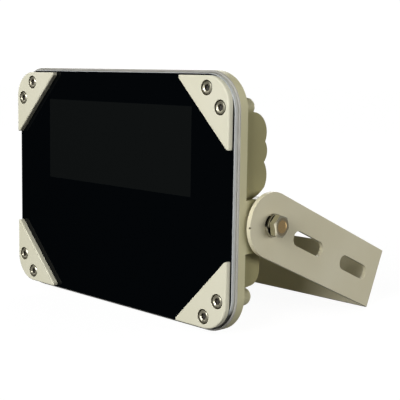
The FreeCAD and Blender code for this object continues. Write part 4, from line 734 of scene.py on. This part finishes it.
def spring_washer(side, outward):
    """A ring of spring steel, cut through and twisted so that one end stands off the flat washer."""
    node = "spring_washer_" + side
    low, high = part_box(node)
    rise = high.x - low.x - SPRING_THICK
    section = [(SPRING_BORE, 0.0), (SPRING_WIDE - SPRING_EDGE, 0.0), (SPRING_WIDE, SPRING_EDGE),
               (SPRING_WIDE, SPRING_THICK - SPRING_EDGE), (SPRING_WIDE - SPRING_EDGE, SPRING_THICK),
               (SPRING_BORE, SPRING_THICK)]
    seat = low.x if outward > 0 else high.x
    work = bmesh.new()
    rows = []
    for step in range(SPRING_STEPS + 1):
        share = step / SPRING_STEPS
        angle = SLIT_AT[side] - SLIT_WIDE / 2 - (2 * math.pi - SLIT_WIDE) * share
        rows.append([work.verts.new((seat + outward * (up + rise * (1 - share)),
                                     pivot.y + out * math.cos(angle), pivot.z + out * math.sin(angle)))
                     for out, up in section])
    for near, following in zip(rows, rows[1:]):
        for i in range(len(section)):
            j = (i + 1) % len(section)
            work.faces.new((near[i], near[j], following[j], following[i]))
    work.faces.new(rows[0])
    work.faces.new(reversed(rows[-1]))
    bmesh.ops.recalc_face_normals(work, faces=work.faces)
    mesh = bpy.data.meshes.new(node)
    work.to_mesh(mesh)
    work.free()
    mesh.materials.append(stainless)
    mesh.shade_smooth()
    mesh.set_sharp_from_angle(angle=SMOOTH_UNDER)
    piece = bpy.data.objects.new(node + "_finished", mesh)
    bpy.context.scene.collection.objects.link(piece)
    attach(piece, frame["nodes"][node]["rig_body"])
    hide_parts(node)
    return piece


dull_steel = new_material("tumbled stainless washer", dull_washer)
bolt_steel = new_material("stainless bolt with a brown film", filmed_steel)
for side, outward in (("right", 1), ("left", -1)):
    finished_copy("flat_washer_" + side, [dull_steel], WASHER_EDGE)
    spring_washer(side, outward)
    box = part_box("spring_washer_" + side)
    foot = (box[1].x if outward > 0 else box[0].x, pivot.y, pivot.z)
    facing = (math.radians(90), BOLT_TURN, math.radians(90) * outward)
    bolt = turned("pivot_bolt_" + side, PIVOT_BOLT, [foot], facing, facing, 1, bolt_steel)

# The floor and the background: white paper that runs into a plain white. Glossy surfaces mirror a
# bright zone at the right and the left and a dark patch at the front left, and all other surfaces
# get only a weak, soft light from the background.
FLOOR_REACH = 8.0
FLOOR_NEAR = 0.25
FLOOR_FAR = 0.9
FLOOR_GLOW = 0.94
PAPER_NEAR = 0.12
PAPER_FAR = 0.02
WHITE = (1, 1, 1, 1)
WARM_WHITE = (1, 0.98, 0.94, 1)
SEEN_STRENGTH = 1.05
SOFT_STRENGTH = 0.012
BRIGHT_SIDE = Vector((0.93, -0.1, -0.3))
BRIGHT_ZONE = (0.82, 0.93)
BRIGHT_STRENGTH = (0.3, 1.3)
DARK_SIDE = Vector((-0.75, -0.64, -0.12))
DARK_ZONE = (0.92, 0.975)

floor = bpy.data.objects.new("floor", bpy.data.meshes.new("floor"))
corners = [(FLOOR_REACH * x, FLOOR_REACH * y, 0) for x, y in ((-1, -1), (1, -1), (1, 1), (-1, 1))]
floor.data.from_pydata(corners, [], [(0, 1, 2, 3)])
bpy.context.scene.collection.objects.link(floor)


def white_floor(tree, place):
    """White paper that glows a little, and fades to the background's white with distance."""
    far = add_node(tree, "ShaderNodeVectorMath", {0: place}, operation="LENGTH").outputs["Value"]
    glow = add_node(tree, "ShaderNodeMapRange",
                    {"Value": far, "From Min": FLOOR_NEAR, "From Max": FLOOR_FAR,
                     "To Min": FLOOR_GLOW, "To Max": 1.0}).outputs["Result"]
    paper = add_node(tree, "ShaderNodeMapRange",
                     {"Value": far, "From Min": FLOOR_NEAR, "From Max": FLOOR_FAR,
                      "To Min": PAPER_NEAR, "To Max": PAPER_FAR}).outputs["Result"]
    return {"Base Color": paper, "Roughness": 1.0, "Specular IOR Level": 0.0,
            "Emission Color": WHITE, "Emission Strength": glow}


floor.data.materials.append(new_material("white floor", white_floor))
floor.visible_glossy = False
floor.visible_diffuse = False

world = bpy.data.worlds.new("studio")
bpy.context.scene.world = world
world.use_nodes = True
sky = world.node_tree
sky.nodes.clear()
paths = add_node(sky, "ShaderNodeLightPath")
seen = add_node(sky, "ShaderNodeBackground", {"Color": WHITE, "Strength": SEEN_STRENGTH})
compass = add_node(sky, "ShaderNodeTexCoord").outputs["Generated"]
toward_bright = add_node(sky, "ShaderNodeVectorMath", {0: compass, 1: BRIGHT_SIDE.normalized()},
                         operation="DOT_PRODUCT").outputs["Value"]
either_way = add_node(sky, "ShaderNodeMath", {0: toward_bright}, operation="ABSOLUTE").outputs[0]
bright = add_node(sky, "ShaderNodeMapRange",
                  {"Value": either_way, "From Min": BRIGHT_ZONE[0], "From Max": BRIGHT_ZONE[1],
                   "To Min": BRIGHT_STRENGTH[0], "To Max": BRIGHT_STRENGTH[1]}).outputs["Result"]
toward_dark = add_node(sky, "ShaderNodeVectorMath", {0: compass, 1: DARK_SIDE.normalized()},
                       operation="DOT_PRODUCT").outputs["Value"]
unlit = add_node(sky, "ShaderNodeMapRange",
                 {"Value": toward_dark, "From Min": DARK_ZONE[0], "From Max": DARK_ZONE[1],
                  "To Min": 1.0, "To Max": 0.0}).outputs["Result"]
mirrored = add_node(sky, "ShaderNodeMath", {0: bright, 1: unlit}, operation="MULTIPLY").outputs[0]
glossy = add_node(sky, "ShaderNodeBackground", {"Color": WARM_WHITE, "Strength": mirrored})
soft = add_node(sky, "ShaderNodeBackground", {"Color": WARM_WHITE, "Strength": SOFT_STRENGTH})
first = add_node(sky, "ShaderNodeMixShader",
                 {0: paths.outputs["Is Glossy Ray"], 1: soft.outputs[0], 2: glossy.outputs[0]})
second = add_node(sky, "ShaderNodeMixShader",
                  {0: paths.outputs["Is Camera Ray"], 1: first.outputs[0], 2: seen.outputs[0]})
add_node(sky, "ShaderNodeOutputWorld", {"Surface": second.outputs[0]})

# The lights: a large, strong key light at the front, a wide one behind the left side, a weak one above,
# and a low, flat one at the right rear that lights the bracket and the fins, and isn't mirrored.
middle = (cad_box[0] + cad_box[1]) / 2


def softbox(name, place, wide, tall, power):
    """A white rectangular light at a place in metres, aimed at the lamp's middle."""
    light = bpy.data.lights.new(name, "AREA")
    light.shape = "RECTANGLE"
    light.size = wide
    light.size_y = tall
    light.energy = power
    lamp = bpy.data.objects.new(name, light)
    lamp.location = place
    lamp.rotation_euler = (middle - Vector(place)).to_track_quat("-Z", "Y").to_euler()
    bpy.context.scene.collection.objects.link(lamp)
    return lamp


softbox("key", (0.38, -1.75, 0.75), 1.1, 1.1, 40.0)
softbox("left rear", (-1.2, 1.3, 0.6), 1.2, 1.2, 24.0)
softbox("top", (0.2, -0.2, 1.7), 1.2, 1.2, 0.3)
right_rear = softbox("right rear", (1.25, 0.75, 0.16), 1.2, 0.5, 13.7)
right_rear.visible_glossy = False

# The camera: at the front right, a little above the lamp's middle, with a long lens, a small roll and
# a small shift.
CAMERA_PLACE = Vector((506.29, -493.907, 165.137)) * MM
CAMERA_YAW = math.radians(45.449)
CAMERA_PITCH = math.radians(6.879)
CAMERA_ROLL = math.radians(0.836)
CAMERA_LENS = 86.16
CAMERA_SHIFT = (0.0085, -0.03275)

camera_data = bpy.data.cameras.new("camera")
camera_data.lens = CAMERA_LENS
camera_data.sensor_width = 36
camera_data.shift_x = CAMERA_SHIFT[0]
camera_data.shift_y = CAMERA_SHIFT[1]
camera_data.clip_start = 0.01
camera_data.clip_end = 100
camera = bpy.data.objects.new("camera", camera_data)
ahead = Vector((-math.sin(CAMERA_YAW) * math.cos(CAMERA_PITCH),
                math.cos(CAMERA_YAW) * math.cos(CAMERA_PITCH), -math.sin(CAMERA_PITCH)))
level = ahead.cross(Vector((0, 0, 1))).normalized()
upright = level.cross(ahead)
camera_right = math.cos(CAMERA_ROLL) * level + math.sin(CAMERA_ROLL) * upright
camera_up = -math.sin(CAMERA_ROLL) * level + math.cos(CAMERA_ROLL) * upright
axes = Matrix((camera_right, camera_up, -ahead)).transposed()
camera.matrix_world = Matrix.Translation(CAMERA_PLACE) @ axes.to_4x4()
bpy.context.scene.collection.objects.link(camera)
bpy.context.scene.camera = camera
bpy.context.scene.view_settings.view_transform = "Standard"
